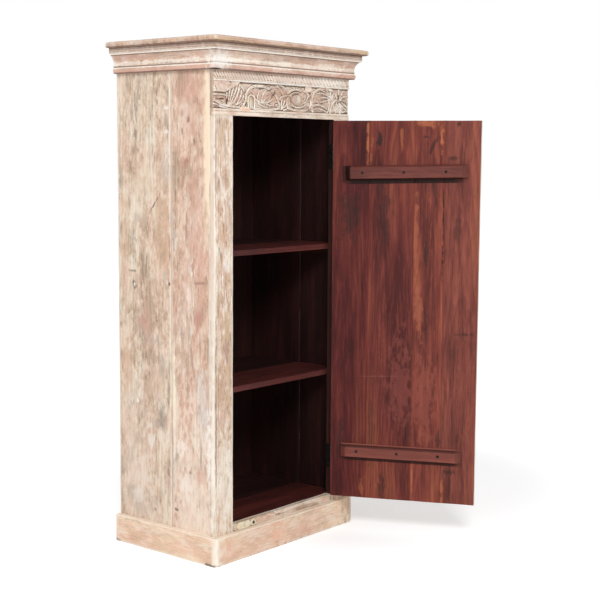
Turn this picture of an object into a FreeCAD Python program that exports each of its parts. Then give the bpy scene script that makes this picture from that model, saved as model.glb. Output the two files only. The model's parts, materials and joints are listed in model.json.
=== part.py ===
import FreeCAD, Part

# A tall single-door cabinet (trastero) of limewashed old wood: a carcass of vertical planks
# behind a face frame, a mitred plinth, a moulded cornice under a round-nosed top, a carved
# frieze, two shelves and a plank door that hangs on two butt hinges.
# Millimetres. X runs to the right seen from the front, Y to the back, Z up. The origin is on
# the floor, at mid width, in the plane of the face frame's front.

import math
import os
from types import SimpleNamespace

import Sketcher

Vector = FreeCAD.Vector

# Name, value and meaning of every driving size. Angles are in degrees.
SIZES = [
    ("cabinet_height", 1500.0, "floor to the top of the top boards"),
    ("carcass_width", 606.0, "outside of one side to the outside of the other"),
    ("carcass_depth", 400.0, "front of the face frame to the back of the sides"),
    ("side_thickness", 20.0, "side planks"),
    ("side_front_width", 156.0, "front plank of each side"),
    ("frame_thickness", 20.0, "stiles, threshold, frieze and top rail"),
    ("stile_width", 74.0, "each stile"),
    ("threshold_height", 105.0, "floor to the top of the threshold"),
    ("back_thickness", 14.0, "back planks"),
    ("back_inset", 2.0, "back planks from the rear edge of the sides"),
    ("joint_bevel", 1.2, "eased edge beside each plank joint"),
    ("plinth_height", 83.0, "plinth boards"),
    ("plinth_thickness", 19.0, "plinth boards"),
    ("plinth_corner_wear", 5.0, "flat worn across each mitred corner"),
    ("plinth_edge_round", 3.0, "worn upper edge of the plinth"),
    ("top_thickness", 17.0, "top boards"),
    ("top_overhang", 44.0, "top boards past the carcass, at the front and sides"),
    ("top_nose", 6.5, "rounding of the top boards' edges"),
    ("frieze_height", 125.0, "carved frieze board"),
    ("cornice_height", 73.0, "cornice moulding"),
    ("cornice_foot", 11.5, "reach of the moulding's lowest edge"),
    ("cornice_band", 15.0, "reach of the rounded lower band"),
    ("cornice_band_height", 18.0, "height of the rounded lower band"),
    ("cornice_quirk", 2.0, "groove over the lower band, each way"),
    ("cornice_hollow", 11.0, "reach of the hollow, foot to head"),
    ("cornice_lip", 2.5, "step from the hollow to the upper band, each way"),
    ("cornice_cap_height", 17.0, "height of the upper band"),
    ("shelf_thickness", 17.0, "shelf and floor boards"),
    ("shelf_front_width", 167.0, "front board of each shelf"),
    ("floor_step", 3.0, "cabinet floor below the threshold's top"),
    ("lower_shelf_share", 0.34066, "lower shelf, as a share of the height inside"),
    ("upper_shelf_share", 0.67625, "upper shelf, as a share of the height inside"),
    ("shelf_setback", 0.6, "shelf front behind the closed door"),
    ("cleat_size", 20.0, "square cleats under the shelves"),
    ("cleat_setback", 14.0, "cleat ends from the frame and from the back"),
    ("cleat_bevel", 6.0, "sloped front end of a cleat"),
    ("field_margin", 17.0, "plain strip below the carved field"),
    ("field_height", 78.0, "carved field of the frieze"),
    ("field_depth", 4.5, "ground of the carved field below the face"),
    ("bead_height", 4.5, "raised bead over the carved field"),
    ("bead_reach", 2.0, "bead in front of the face"),
    ("hatch_margin", 4.0, "plain strip over the hatched band"),
    ("hatch_pitch", 15.0, "spacing of the slanted cuts"),
    ("hatch_width", 5.0, "width of a slanted cut"),
    ("hatch_depth", 2.2, "depth of a slanted cut"),
    ("hatch_lean", 7.0, "sideways lean of a slanted cut"),
    ("stem_radius", 4.6, "half width of the carved stem at the ground"),
    ("stem_crest", 1.8, "half width of the carved stem at its crest"),
    ("stem_rise", 29.0, "height of the stem's waves over the middle"),
    ("scroll_radius", 29.0, "outer turn of each scroll, up and down"),
    ("scroll_end_radius", 20.0, "inner turn of each scroll, up and down"),
    ("tendril_radius", 3.4, "half width of a scroll's tendril at the ground"),
    ("tendril_crest", 1.2, "half width of a scroll's tendril at its crest"),
    ("fruit_length", 28.0, "pointed fruit in each scroll"),
    ("fruit_width", 15.0, "pointed fruit in each scroll"),
    ("leaf_length", 15.0, "carved leaf, up and down"),
    ("leaf_width", 9.0, "carved leaf"),
    ("carving_slope", 24.0, "slope of the sides of leaves and fruit"),
    ("door_thickness", 20.0, "door planks"),
    ("door_side_gap", 2.0, "door edge to stile"),
    ("door_bottom_gap", 2.5, "door to threshold"),
    ("door_top_gap", 3.5, "door to frieze"),
    ("door_plank_one_share", 0.2489, "plank next to the hinges, as a share of the door"),
    ("door_plank_two_share", 0.3106, "second plank, as a share of the door"),
    ("door_plank_three_share", 0.2048, "third plank, as a share of the door"),
    ("door_open_angle", 115.0, "door as modelled, from closed"),
    ("batten_end_room", 39.0, "door's edges to the ends of the battens"),
    ("batten_width", 44.0, "batten"),
    ("batten_thickness", 17.0, "batten"),
    ("batten_edge_bevel", 5.0, "bevel along a batten's long edges"),
    ("batten_end_bevel", 16.0, "bevel at a batten's ends"),
    ("upper_batten_drop", 155.5, "door's top to the middle of the upper batten"),
    ("lower_batten_rise", 149.5, "door's foot to the middle of the lower batten"),
    ("upper_batten_shift", 1.0, "upper batten past the middle of the door"),
    ("lower_batten_shift", 5.0, "lower batten short of the middle of the door"),
    ("upper_batten_tilt", 1.3, "upper batten out of level"),
    ("upper_screws_shift", 4.0, "screws short of the middle of the upper batten"),
    ("lower_screws_shift", 8.0, "screws short of the middle of the lower batten"),
    ("batten_screw_share", 0.3404, "spacing of the screws, as a share of a batten"),
    ("batten_sink_radius", 4.6, "counterbore over a batten screw"),
    ("batten_sink_depth", 5.0, "counterbore over a batten screw"),
    ("batten_screw_head", 4.0, "radius of a batten screw's head"),
    ("batten_head_height", 2.6, "height of a batten screw's head"),
    ("batten_screw_length", 26.0, "shank of a batten screw"),
    ("screw_shank", 2.0, "radius of every screw shank"),
    ("screw_clearance", 0.1, "play of a screw in its hole"),
    ("hinge_length", 76.0, "butt hinge"),
    ("hinge_leaf_width", 19.8, "leaf from the front of the frame"),
    ("hinge_leaf_thickness", 1.6, "leaf"),
    ("hinge_seat_depth", 0.9, "recess that takes a leaf"),
    ("hinge_seat_play", 0.2, "play of a leaf in its recess"),
    ("upper_hinge_drop", 110.5, "door's top to the middle of the upper hinge"),
    ("lower_hinge_rise", 120.5, "door's foot to the middle of the lower hinge"),
    ("knuckle_radius", 4.0, "hinge knuckle"),
    ("knuckle_play", 0.3, "play between knuckles and round them"),
    ("pin_radius", 2.0, "hinge pin"),
    ("pin_play", 0.06, "play of the pin in the knuckles"),
    ("pin_head_radius", 3.2, "head at the upper end of the pin"),
    ("pin_head_height", 1.6, "head at the upper end of the pin"),
    ("hinge_screw_head", 3.4, "radius of a hinge screw's head"),
    ("hinge_screw_pitch", 26.0, "spacing of the screws in a leaf"),
    ("hinge_head_height", 1.0, "height of a hinge screw's head, sunk in the leaf"),
    ("hinge_screw_length", 15.0, "hinge screw, head and all"),
    ("button_pivot_reach", 84.0, "turn button's pivot from the left stile"),
    ("button_pivot_drop", 10.0, "pivot below the threshold's top"),
    ("button_boss_radius", 10.5, "round boss at the pivot"),
    ("button_plate_length", 57.0, "oval thumb plate"),
    ("button_plate_height", 23.0, "oval thumb plate"),
    ("button_plate_reach", 41.0, "middle of the thumb plate from the pivot"),
    ("button_neck", 9.0, "neck between the boss and the plate"),
    ("button_thickness", 4.5, "turn button"),
    ("button_edge", 1.2, "eased edge of the turn button"),
    ("button_hole", 2.2, "radius of the hole in the thumb plate"),
    ("button_standoff", 1.0, "turn button in front of the threshold"),
    ("washer_radius", 7.0, "washer behind the turn button"),
    ("running_gap", 0.3, "play between faces that move past each other"),
    ("button_screw_head", 5.2, "radius of the pivot screw's head"),
    ("button_head_height", 2.0, "height of the pivot screw's head"),
    ("button_screw_length", 15.0, "pivot screw in the threshold"),
    ("overrun", 5.0, "how far a cutting tool passes the face that it cuts"),
]

BACK_PLANKS = 4
KNUCKLES = 3
SCREWS_PER_ROW = 3
SCREW_SIDES = 8
SCROLLS = 4
LEAVES_PER_SCROLL = 5
STEM_POINTS_PER_WAVE = 6
FIT_TOLERANCE = 1e-4
FULL_TURN = 360.0
DOME_SWELL_SHARE = 0.2
DOME_FLAT_SHARE = 0.4
QUARTER_SWELL_SHARE = 1 - math.sqrt(1 / 2)

# Turn of a scroll's tendril and spread of the leaves inside it, in degrees.
SCROLL_TURN = 250.0
FAN_SPREAD = 190.0

# How much wider than tall a scroll is, and where its leaves start and how wide they swell.
SCROLL_STRETCH_SHARE = 1.7
LEAF_ROOT_SHARE = 0.7
LEAF_HALF_SHARE = 0.5


class Size:
    """A number that keeps the sheet expression it comes from."""

    def __init__(self, value, text):
        self.value = value
        self.text = text

    def __add__(self, other):
        other = as_size(other)
        return Size(self.value + other.value, f"({self.text} + {other.text})")

    def __sub__(self, other):
        other = as_size(other)
        return Size(self.value - other.value, f"({self.text} - {other.text})")

    def __mul__(self, other):
        other = as_size(other)
        return Size(self.value * other.value, f"({self.text} * {other.text})")

    def __truediv__(self, other):
        other = as_size(other)
        return Size(self.value / other.value, f"({self.text} / {other.text})")

    def __neg__(self):
        return Size(-self.value, f"(0 - {self.text})")

    __radd__ = __add__
    __rmul__ = __mul__


def as_size(number):
    """Wrap a zero, a count or a share so that it mixes with sheet sizes."""
    if isinstance(number, Size):
        return number
    return Size(float(number), repr(float(number)))


ZERO = as_size(0)


def cosine(angle):
    """Cosine of an angle size given in degrees."""
    return Size(math.cos(math.radians(angle.value)), f"cos({angle.text})")


def sine(angle):
    """Sine of an angle size given in degrees."""
    return Size(math.sin(math.radians(angle.value)), f"sin({angle.text})")


doc = FreeCAD.newDocument("cabinet")


def make_sheet():
    """Fill the spreadsheet with the driving sizes and return them by name."""
    sheet = doc.addObject("Spreadsheet::Sheet", "Sizes")
    sizes = SimpleNamespace()
    for row, (name, value, meaning) in enumerate(SIZES, start=1):
        sheet.set(f"A{row}", meaning)
        sheet.set(f"B{row}", repr(value))
        sheet.setAlias(f"B{row}", name)
        setattr(sizes, name, Size(value, f"Sizes.{name}"))
    doc.recompute()
    return sizes


s = make_sheet()

# Places that several pieces share.
half_width = s.carcass_width / 2
opening_half = half_width - s.stile_width
inner_half = half_width - s.side_thickness
back_plane = s.carcass_depth - s.back_inset
back_front = back_plane - s.back_thickness
carcass_top = s.cabinet_height - s.top_thickness
cornice_bottom = carcass_top - s.cornice_height
frieze_bottom = cornice_bottom - s.frieze_height
floor_top = s.threshold_height - s.floor_step
shelf_front = s.frame_thickness + s.shelf_setback
door_hinge_edge = opening_half - s.door_side_gap
door_width = door_hinge_edge * 2
door_bottom = s.threshold_height + s.door_bottom_gap
door_top = frieze_bottom - s.door_top_gap
lower_shelf_top = floor_top + (frieze_bottom - floor_top) * s.lower_shelf_share
upper_shelf_top = floor_top + (frieze_bottom - floor_top) * s.upper_shelf_share
hinge_heights = {"upper": door_top - s.upper_hinge_drop, "lower": door_bottom + s.lower_hinge_rise}
hinge_x = opening_half - s.door_side_gap / 2
hinge_y = -s.knuckle_radius

PARTS = []


def keep(piece, label):
    """Name a finished piece and list it for export."""
    piece.Label = label
    PARTS.append(piece)
    return piece


def bind(thing, **sizes):
    """Tie properties of a document object to sheet expressions."""
    for name, size in sizes.items():
        size = as_size(size)
        setattr(thing, name, size.value)
        thing.setExpression(name, size.text)
    return thing


def place(thing, x=ZERO, y=ZERO, z=ZERO):
    """Tie the position of an object to sheet expressions, without turning it."""
    for axis, size in (("x", x), ("y", y), ("z", z)):
        thing.setExpression(f".Placement.Base.{axis}", as_size(size).text)
    return thing


def swing_with_door(thing):
    """Turn a piece from where it is with the door closed to the open door's place."""
    angle = s.door_open_angle
    turned_x = hinge_x * cosine(angle) - hinge_y * sine(angle)
    turned_y = hinge_x * sine(angle) + hinge_y * cosine(angle)
    base = Vector((hinge_x - turned_x).value, (hinge_y - turned_y).value, 0)
    turn = FreeCAD.Rotation(Vector(0, 0, 1), angle.value)
    thing.Placement = FreeCAD.Placement(base, turn)
    place(thing, hinge_x - turned_x, hinge_y - turned_y)
    thing.setExpression(".Placement.Rotation.Angle", angle.text)
    return thing


def new_body(name):
    return doc.addObject("PartDesign::Body", name)


def origin_plane(body, role):
    return [part for part in body.Origin.OriginFeatures if part.Role == role][0]


def new_sketch(body, name, role, offset=ZERO):
    """Attach an empty sketch to one of the body's own planes, moved along its normal."""
    sketch = body.newObject("Sketcher::SketchObject", name)
    sketch.AttachmentSupport = [(origin_plane(body, role), "")]
    sketch.MapMode = "FlatFace"
    sketch.AttachmentOffset = FreeCAD.Placement(Vector(0, 0, offset.value), FreeCAD.Rotation())
    sketch.setExpression(".AttachmentOffset.Base.z", offset.text)
    return sketch


def pin_point(sketch, index, end, point):
    """Hold one end of a sketch line or arc at sheet-driven coordinates."""
    for kind, size in (("DistanceX", point[0]), ("DistanceY", point[1])):
        number = sketch.addConstraint(
            Sketcher.Constraint(kind, -1, 1, index, end, size.value))
        sketch.setExpression(f"Constraints[{number}]", size.text)


def draw_outline(sketch, corners):
    """Close a loop of lines and arcs.

    Each corner is (x, y) or (x, y, bulge): the bulge is how far the curve that leaves the
    corner swells to the left of its chord, and no bulge gives a straight line.
    """
    spots = [(as_size(corner[0]), as_size(corner[1])) for corner in corners]
    bulges = [as_size(corner[2]) if len(corner) > 2 else None for corner in corners]
    ends = []
    for place_in_loop, start in enumerate(spots):
        stop = spots[(place_in_loop + 1) % len(spots)]
        first = Vector(start[0].value, start[1].value, 0)
        last = Vector(stop[0].value, stop[1].value, 0)
        bulge = bulges[place_in_loop]
        if bulge is None:
            index = sketch.addGeometry(Part.LineSegment(first, last), False)
            ends.append((index, 1, 2))
            continue
        chord = last - first
        left = Vector(-chord.y, chord.x, 0).normalize()
        crown = (first + last) / 2 + left * bulge.value
        index = sketch.addGeometry(Part.Arc(first, crown, last), False)
        swapped = (sketch.getPoint(index, 1) - first).Length > FIT_TOLERANCE
        ends.append((index, 2, 1) if swapped else (index, 1, 2))
        half_chord = distance(start, stop) / 2
        radius = (half_chord * half_chord + bulge * bulge) / (bulge * 2)
        if bulge.value < 0:
            radius = -radius
        number = sketch.addConstraint(Sketcher.Constraint("Radius", index, radius.value))
        sketch.setExpression(f"Constraints[{number}]", radius.text)
    for place_in_loop, (index, start_end, stop_end) in enumerate(ends):
        following = ends[(place_in_loop + 1) % len(ends)]
        sketch.addConstraint(
            Sketcher.Constraint("Coincident", index, stop_end, following[0], following[1]))
        pin_point(sketch, index, start_end, spots[place_in_loop])


def distance(start, stop):
    """Length of the chord between two sketch points, as a size."""
    across = stop[0] - start[0]
    along = stop[1] - start[1]
    squares = across * across + along * along
    return Size(math.sqrt(squares.value), f"sqrt({squares.text})")


def draw_circles(sketch, centres, radius):
    for centre in centres:
        spot = (as_size(centre[0]), as_size(centre[1]))
        middle = Vector(spot[0].value, spot[1].value, 0)
        index = sketch.addGeometry(Part.Circle(middle, Vector(0, 0, 1), radius.value), False)
        number = sketch.addConstraint(Sketcher.Constraint("Radius", index, radius.value))
        sketch.setExpression(f"Constraints[{number}]", radius.text)
        pin_point(sketch, index, 3, spot)


def draw_screw_holes(sketch, centres, radius=None):
    """Holes with as many sides as the wood screws, for their shanks if no radius is given."""
    reach = radius or screw_hole()
    for x, y in centres:
        corners = []
        for number in range(SCREW_SIDES):
            angle = math.tau * number / SCREW_SIDES
            corners.append((x + reach * math.cos(angle), y + reach * math.sin(angle)))
        draw_outline(sketch, corners)


def pad(body, sketch, length, reverse=False, taper=None):
    feature = body.newObject("PartDesign::Pad", "Pad")
    feature.Profile = sketch
    feature.Reversed = reverse
    bind(feature, Length=length)
    if taper is not None:
        bind(feature, TaperAngle=taper)
    return feature


def pocket(body, sketch, length, reverse=False):
    feature = body.newObject("PartDesign::Pocket", "Pocket")
    feature.Profile = sketch
    feature.Reversed = reverse
    bind(feature, Length=length)
    return feature


def seat(body, name, low, high):
    """Cut a box between two corners out of a body."""
    feature = body.newObject("PartDesign::SubtractiveBox", name)
    bind(feature, Length=high[0] - low[0], Width=high[1] - low[1], Height=high[2] - low[2])
    return place(feature, *low)


def edges_at(feature, test):
    """Names of the edges whose ends and middle all pass a test."""
    names = []
    for number, edge in enumerate(feature.Shape.Edges, start=1):
        middle = edge.valueAt((edge.FirstParameter + edge.LastParameter) / 2)
        points = [vertex.Point for vertex in edge.Vertexes] + [middle]
        if all(test(point) for point in points):
            names.append(f"Edge{number}")
    return names


def near(value, size):
    return abs(value - as_size(size).value) < FIT_TOLERANCE


def ease(body, feature, test, size, kind="Chamfer"):
    """Chamfer or fillet the edges of a feature that pass a test."""
    doc.recompute()
    names = edges_at(feature, test)
    dressed = body.newObject(f"PartDesign::{kind}", kind)
    dressed.Base = (feature, names)
    if kind == "Chamfer":
        return bind(dressed, Size=size)
    return bind(dressed, Radius=size)


def board(label, low, high):
    """A plain rectangular board between two corners, as a padded plan."""
    body = new_body(label)
    sketch = new_sketch(body, "Plan", "XY_Plane", as_size(low[2]))
    draw_outline(sketch, [(low[0], low[1]), (high[0], low[1]),
                          (high[0], high[1]), (low[0], high[1])])
    return body, pad(body, sketch, high[2] - low[2])


def upright_plank(label, low, high, joints, faces):
    """A vertical plank with its arrises eased along the joints, on the given faces."""
    body, plank = board(label, low, high)
    joint_axis, joint_places = joints
    face_axis, face_places = faces

    def on_arris(point):
        along = getattr(point, joint_axis)
        over = getattr(point, face_axis)
        return (any(near(along, spot) for spot in joint_places)
                and any(near(over, spot) for spot in face_places))

    ease(body, plank, on_arris, s.joint_bevel)
    return keep(body, label)


def make_sides():
    joint = s.frame_thickness + s.side_front_width
    for name, sign in (("left", -1), ("right", 1)):
        outer = half_width * sign
        inner = inner_half * sign
        low_x, high_x = (outer, inner) if sign < 0 else (inner, outer)
        upright_plank(f"side_{name}_front", (low_x, s.frame_thickness, ZERO),
                      (high_x, joint, carcass_top), ("y", [joint]), ("x", [outer, inner]))
        upright_plank(f"side_{name}_rear", (low_x, joint, ZERO),
                      (high_x, s.carcass_depth, carcass_top),
                      ("y", [joint]), ("x", [outer, inner]))


def make_back():
    width = inner_half * 2 / BACK_PLANKS
    bottom = floor_top - s.shelf_thickness - s.cleat_size
    for number in range(BACK_PLANKS):
        left = width * number - inner_half
        right = width * (number + 1) - inner_half
        inner_joints = ([left] if number else []) + ([right] if number < BACK_PLANKS - 1 else [])
        upright_plank(f"back_plank_{number + 1}", (left, back_front, bottom),
                      (right, back_plane, carcass_top),
                      ("x", inner_joints), ("y", [back_front, back_plane]))


def make_threshold():
    """The rail across the foot of the opening, with the pivot screw's hole."""
    body, rail = board("threshold", (-opening_half, ZERO, ZERO),
                       (opening_half, s.frame_thickness, s.threshold_height))

    def front_arris(point):
        return near(point.z, s.threshold_height) and near(point.y, ZERO)

    ease(body, rail, front_arris, s.joint_bevel, "Fillet")
    sketch = new_sketch(body, "PivotHole", "XZ_Plane")
    draw_circles(sketch, [(button_pivot_x(), button_pivot_z())], screw_hole())
    pocket(body, sketch, s.button_screw_length, reverse=False)
    keep(body, "threshold")


def make_stiles():
    board_left, _ = board("stile_left", (-half_width, ZERO, ZERO),
                          (-opening_half, s.frame_thickness, frieze_bottom))
    keep(board_left, "stile_left")
    body, _ = board("stile_right", (opening_half, ZERO, ZERO),
                    (half_width, s.frame_thickness, frieze_bottom))
    for height in hinge_heights.values():
        reach = s.hinge_length / 2 + s.hinge_seat_play
        seat(body, "LeafSeat", (opening_half - s.overrun, -s.overrun, height - reach),
             (opening_half + s.hinge_seat_depth, s.frame_thickness + s.overrun, height + reach))
    sketch = new_sketch(body, "LeafScrewHoles", "YZ_Plane", opening_half)
    draw_screw_holes(sketch, hinge_screw_places())
    pocket(body, sketch, s.hinge_screw_length, reverse=True)
    keep(body, "stile_right")


def make_plinth():
    """Three applied boards, mitred at the front corners, with the corners worn flat."""
    reach = s.plinth_thickness
    wear = s.plinth_corner_wear
    outer = half_width + reach
    worn_x = outer - wear
    worn_y = wear - reach
    plans = {
        "plinth_front": [(-half_width, ZERO), (-worn_x, worn_y), (wear * 2 - outer, -reach),
                         (outer - wear * 2, -reach), (worn_x, worn_y), (half_width, ZERO)],
        "plinth_left": [(-half_width, ZERO), (-half_width, s.carcass_depth),
                        (-outer, s.carcass_depth), (-outer, wear * 2 - reach),
                        (-worn_x, worn_y)],
        "plinth_right": [(half_width, ZERO), (worn_x, worn_y), (outer, wear * 2 - reach),
                         (outer, s.carcass_depth), (half_width, s.carcass_depth)],
    }
    for label, corners in plans.items():
        body = new_body(label)
        sketch = new_sketch(body, "Plan", "XY_Plane")
        draw_outline(sketch, corners)
        block = pad(body, sketch, s.plinth_height)

        def upper_outer(point, front=(label == "plinth_front")):
            face = near(point.y, -reach) if front else near(abs(point.x), outer)
            return near(point.z, s.plinth_height) and face

        ease(body, block, upper_outer, s.plinth_edge_round, "Fillet")
        keep(body, label)


def cornice_profile():
    """Corners of the moulding as (reach, height), from the foot up the face to the head."""
    band_top = cornice_bottom + s.cornice_band_height
    hollow_foot = band_top + s.cornice_quirk
    hollow_head = carcass_top - s.cornice_cap_height - s.cornice_lip
    waist = s.cornice_band - s.cornice_quirk
    cap = waist + s.cornice_hollow + s.cornice_lip
    cap_foot = carcass_top - s.cornice_cap_height
    band_swell = s.cornice_foot - s.cornice_band
    hollow_swell = s.cornice_hollow / 2
    head = cap + s.cornice_lip
    return [
        (ZERO, cornice_bottom),
        (s.cornice_foot, cornice_bottom, band_swell),
        (s.cornice_foot, band_top),
        (waist, hollow_foot, hollow_swell),
        (waist + s.cornice_hollow, hollow_head),
        (cap, hollow_head),
        (cap, cap_foot),
        (head, cap_foot + s.cornice_lip),
        (head, carcass_top),
        (ZERO, carcass_top),
    ]


def mirrored(corners):
    """The same outline with its first coordinate's sign changed and its sense kept."""
    turned = []
    for corner in corners:
        if len(corner) > 2:
            turned.append((-corner[0], corner[1], -corner[2]))
        else:
            turned.append((-corner[0], corner[1]))
    return turned


def make_cornice():
    """Front and side lengths of one moulding, mitred at the two front corners."""
    reach = s.top_overhang + s.overrun
    past_foot = cornice_bottom - s.overrun
    tall = s.cornice_height + s.overrun * 2

    front = new_body("cornice_front")
    sketch = new_sketch(front, "Moulding", "YZ_Plane", -(half_width + s.top_overhang))
    draw_outline(sketch, mirrored(cornice_profile()))
    pad(front, sketch, (half_width + s.top_overhang) * 2)
    for sign in (-1, 1):
        mitre = new_sketch(front, "Mitre", "XY_Plane", past_foot)
        draw_outline(mitre, [(half_width * sign, ZERO),
                             ((half_width + reach) * sign, -reach),
                             ((half_width + reach) * sign, s.overrun),
                             (half_width * sign, s.overrun)])
        pocket(front, mitre, tall, reverse=True)
    keep(front, "cornice_front")

    for name, sign in (("left", -1), ("right", 1)):
        side = new_body(f"cornice_{name}")
        sketch = new_sketch(side, "Moulding", "XZ_Plane", s.top_overhang)
        corners = cornice_profile() if sign > 0 else mirrored(cornice_profile())
        draw_outline(sketch, [(corner[0] + half_width * sign,) + tuple(corner[1:])
                              for corner in corners])
        pad(side, sketch, s.top_overhang + s.carcass_depth, reverse=True)
        mitre = new_sketch(side, "Mitre", "XY_Plane", past_foot)
        draw_outline(mitre, [((half_width - s.overrun) * sign, s.overrun),
                             ((half_width - s.overrun) * sign, -reach - s.overrun),
                             ((half_width + reach) * sign, -reach)])
        pocket(side, mitre, tall, reverse=True)
        keep(side, f"cornice_{name}")


def make_top():
    """Three boards across the top, round-nosed wherever an edge shows."""
    outer = half_width + s.top_overhang
    span = s.top_overhang + s.carcass_depth
    names = ("front", "middle", "rear")
    for number, name in enumerate(names):
        near_y = span * number / len(names) - s.top_overhang
        far_y = span * (number + 1) / len(names) - s.top_overhang
        body, plank = board(f"top_{name}", (-outer, near_y, carcass_top),
                            (outer, far_y, s.cabinet_height))

        def nose(point, leads=(number == 0)):
            level = near(point.z, carcass_top) or near(point.z, s.cabinet_height)
            return level and (near(abs(point.x), outer)
                              or (leads and near(point.y, -s.top_overhang)))

        ease(body, plank, nose, s.top_nose, "Fillet")
        keep(body, f"top_{name}")


def make_top_rail():
    body, _ = board("top_rail", (-half_width, ZERO, cornice_bottom),
                    (half_width, s.frame_thickness, carcass_top))
    keep(body, "top_rail")


def make_shelf(name, top, front):
    """A shelf of two boards on a pair of cleats."""
    bottom = top - s.shelf_thickness
    joint = s.frame_thickness + s.shelf_front_width
    for half, low_y, high_y in (("front", front, joint), ("rear", joint, back_front)):
        body, plank = board(f"{name}_{half}", (-inner_half, low_y, bottom),
                            (inner_half, high_y, top))

        def joint_arris(point):
            return near(point.y, joint) and near(point.z, top)

        ease(body, plank, joint_arris, s.joint_bevel)
        keep(body, f"{name}_{half}")
    cleat_front = s.frame_thickness + s.cleat_setback
    cleat_back = back_front - s.cleat_setback
    for side, sign in (("left", -1), ("right", 1)):
        body = new_body(f"{name}_cleat_{side}")
        inner = (inner_half - s.cleat_size) if sign > 0 else -inner_half
        sketch = new_sketch(body, "Elevation", "YZ_Plane", inner)
        draw_outline(sketch, [(cleat_front, bottom),
                              (cleat_front, bottom - s.cleat_size + s.cleat_bevel),
                              (cleat_front + s.cleat_bevel, bottom - s.cleat_size),
                              (cleat_back, bottom - s.cleat_size),
                              (cleat_back, bottom)])
        pad(body, sketch, s.cleat_size)
        keep(body, f"{name}_cleat_{side}")


def frieze_profile():
    """Section of the frieze as (depth behind the face, height)."""
    field_foot = frieze_bottom + s.field_margin
    field_head = field_foot + s.field_height
    bead_head = field_head + s.bead_height
    return [
        (s.frame_thickness, frieze_bottom),
        (s.frame_thickness, cornice_bottom),
        (ZERO, cornice_bottom),
        (ZERO, bead_head),
        (-s.bead_reach, bead_head - s.bead_reach / 2),
        (-s.bead_reach, field_head + s.bead_reach / 2),
        (ZERO, field_head),
        (s.field_depth, field_head - s.field_depth / 2),
        (s.field_depth, field_foot + s.field_depth / 2),
        (ZERO, field_foot),
        (ZERO, frieze_bottom),
    ]


def hatch_count():
    """How many slanted cuts fit along the frieze."""
    room = s.carcass_width.value - s.hatch_lean.value - s.hatch_width.value
    return int(room / s.hatch_pitch.value)


def make_frieze_board():
    """The frieze before its scrolls: a sunk field, a bead and a row of slanted cuts."""
    body = new_body("FriezeBoard")
    sketch = new_sketch(body, "Section", "YZ_Plane", -half_width)
    draw_outline(sketch, frieze_profile())
    pad(body, sketch, s.carcass_width)
    count = hatch_count()
    low = frieze_bottom + s.field_margin + s.field_height + s.bead_height + s.hatch_margin / 2
    high = cornice_bottom - s.hatch_margin
    start = -(s.hatch_pitch * (count - 1) + s.hatch_lean + s.hatch_width) / 2
    cut = new_sketch(body, "SlantedCut", "XZ_Plane")
    draw_outline(cut, [(start, low), (start + s.hatch_width, low),
                       (start + s.hatch_width + s.hatch_lean, high),
                       (start + s.hatch_lean, high)])
    groove = pocket(body, cut, s.hatch_depth)
    rows = body.newObject("PartDesign::LinearPattern", "SlantedCuts")
    rows.Originals = [groove]
    rows.Direction = (cut, ["H_Axis"])
    bind(rows, Length=s.hatch_pitch * (count - 1))
    rows.Occurrences = count
    body.Tip = rows
    return body


def solid_along(points, half, crest):
    """A carved ridge with sloping sides and a flat crest, along a smooth curve."""
    curve = Part.BSplineCurve()
    curve.interpolate(points)
    spine = Part.Wire([curve.toShape()])
    start, direction = points[0], curve.tangent(curve.FirstParameter)[0]
    across = direction.cross(Vector(0, 1, 0)).normalize()
    ground = Vector(0, s.field_depth.value / 2, 0)
    rise = Vector(0, -s.field_depth.value, 0)
    corners = [start + across * half + ground, start + across * half,
               start + across * crest + rise, start - across * crest + rise,
               start - across * half, start - across * half + ground]
    section = Part.makePolygon(corners + corners[:1])
    shell = Part.BRepOffsetAPI.MakePipeShell(spine)
    shell.setBiNormalMode(Vector(0, 1, 0))
    shell.add(section)
    shell.build()
    shell.makeSolid()
    return shell.shape()


def field_middle():
    return frieze_bottom + s.field_margin + s.field_height / 2


def stem_solid():
    """The running stem: one wave per pair of scrolls, from end to end of the field."""
    span = s.carcass_width.value - s.stem_radius.value * 2
    waves = SCROLLS / 2
    steps = int(STEM_POINTS_PER_WAVE * waves)
    points = []
    for step in range(steps + 1):
        share = step / steps
        height = field_middle().value - s.stem_rise.value * math.cos(math.tau * waves * share
                                                                     - math.pi / 2)
        points.append(Vector((share - 1 / 2) * span, s.field_depth.value, height))
    return solid_along(points, s.stem_radius.value, s.stem_crest.value)


def scroll_centre(number):
    pitch = s.carcass_width.value / SCROLLS
    return Vector(pitch * (number + 1 / 2) - half_width.value, s.field_depth.value,
                  field_middle().value)


def tendril_solid(centre, turn_sign):
    """A tendril that leaves the stem and curls in round the scroll's fruit."""
    steps = STEM_POINTS_PER_WAVE
    shrink = s.scroll_end_radius.value - s.scroll_radius.value
    points = []
    for step in range(steps + 1):
        share = step / steps
        angle = math.radians(turn_sign * (SCROLL_TURN * share - 90))
        radius = s.scroll_radius.value + shrink * share
        points.append(centre + Vector(radius * SCROLL_STRETCH_SHARE * math.cos(angle), 0,
                                      radius * math.sin(angle)))
    return solid_along(points, s.tendril_radius.value, s.tendril_crest.value)


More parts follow.
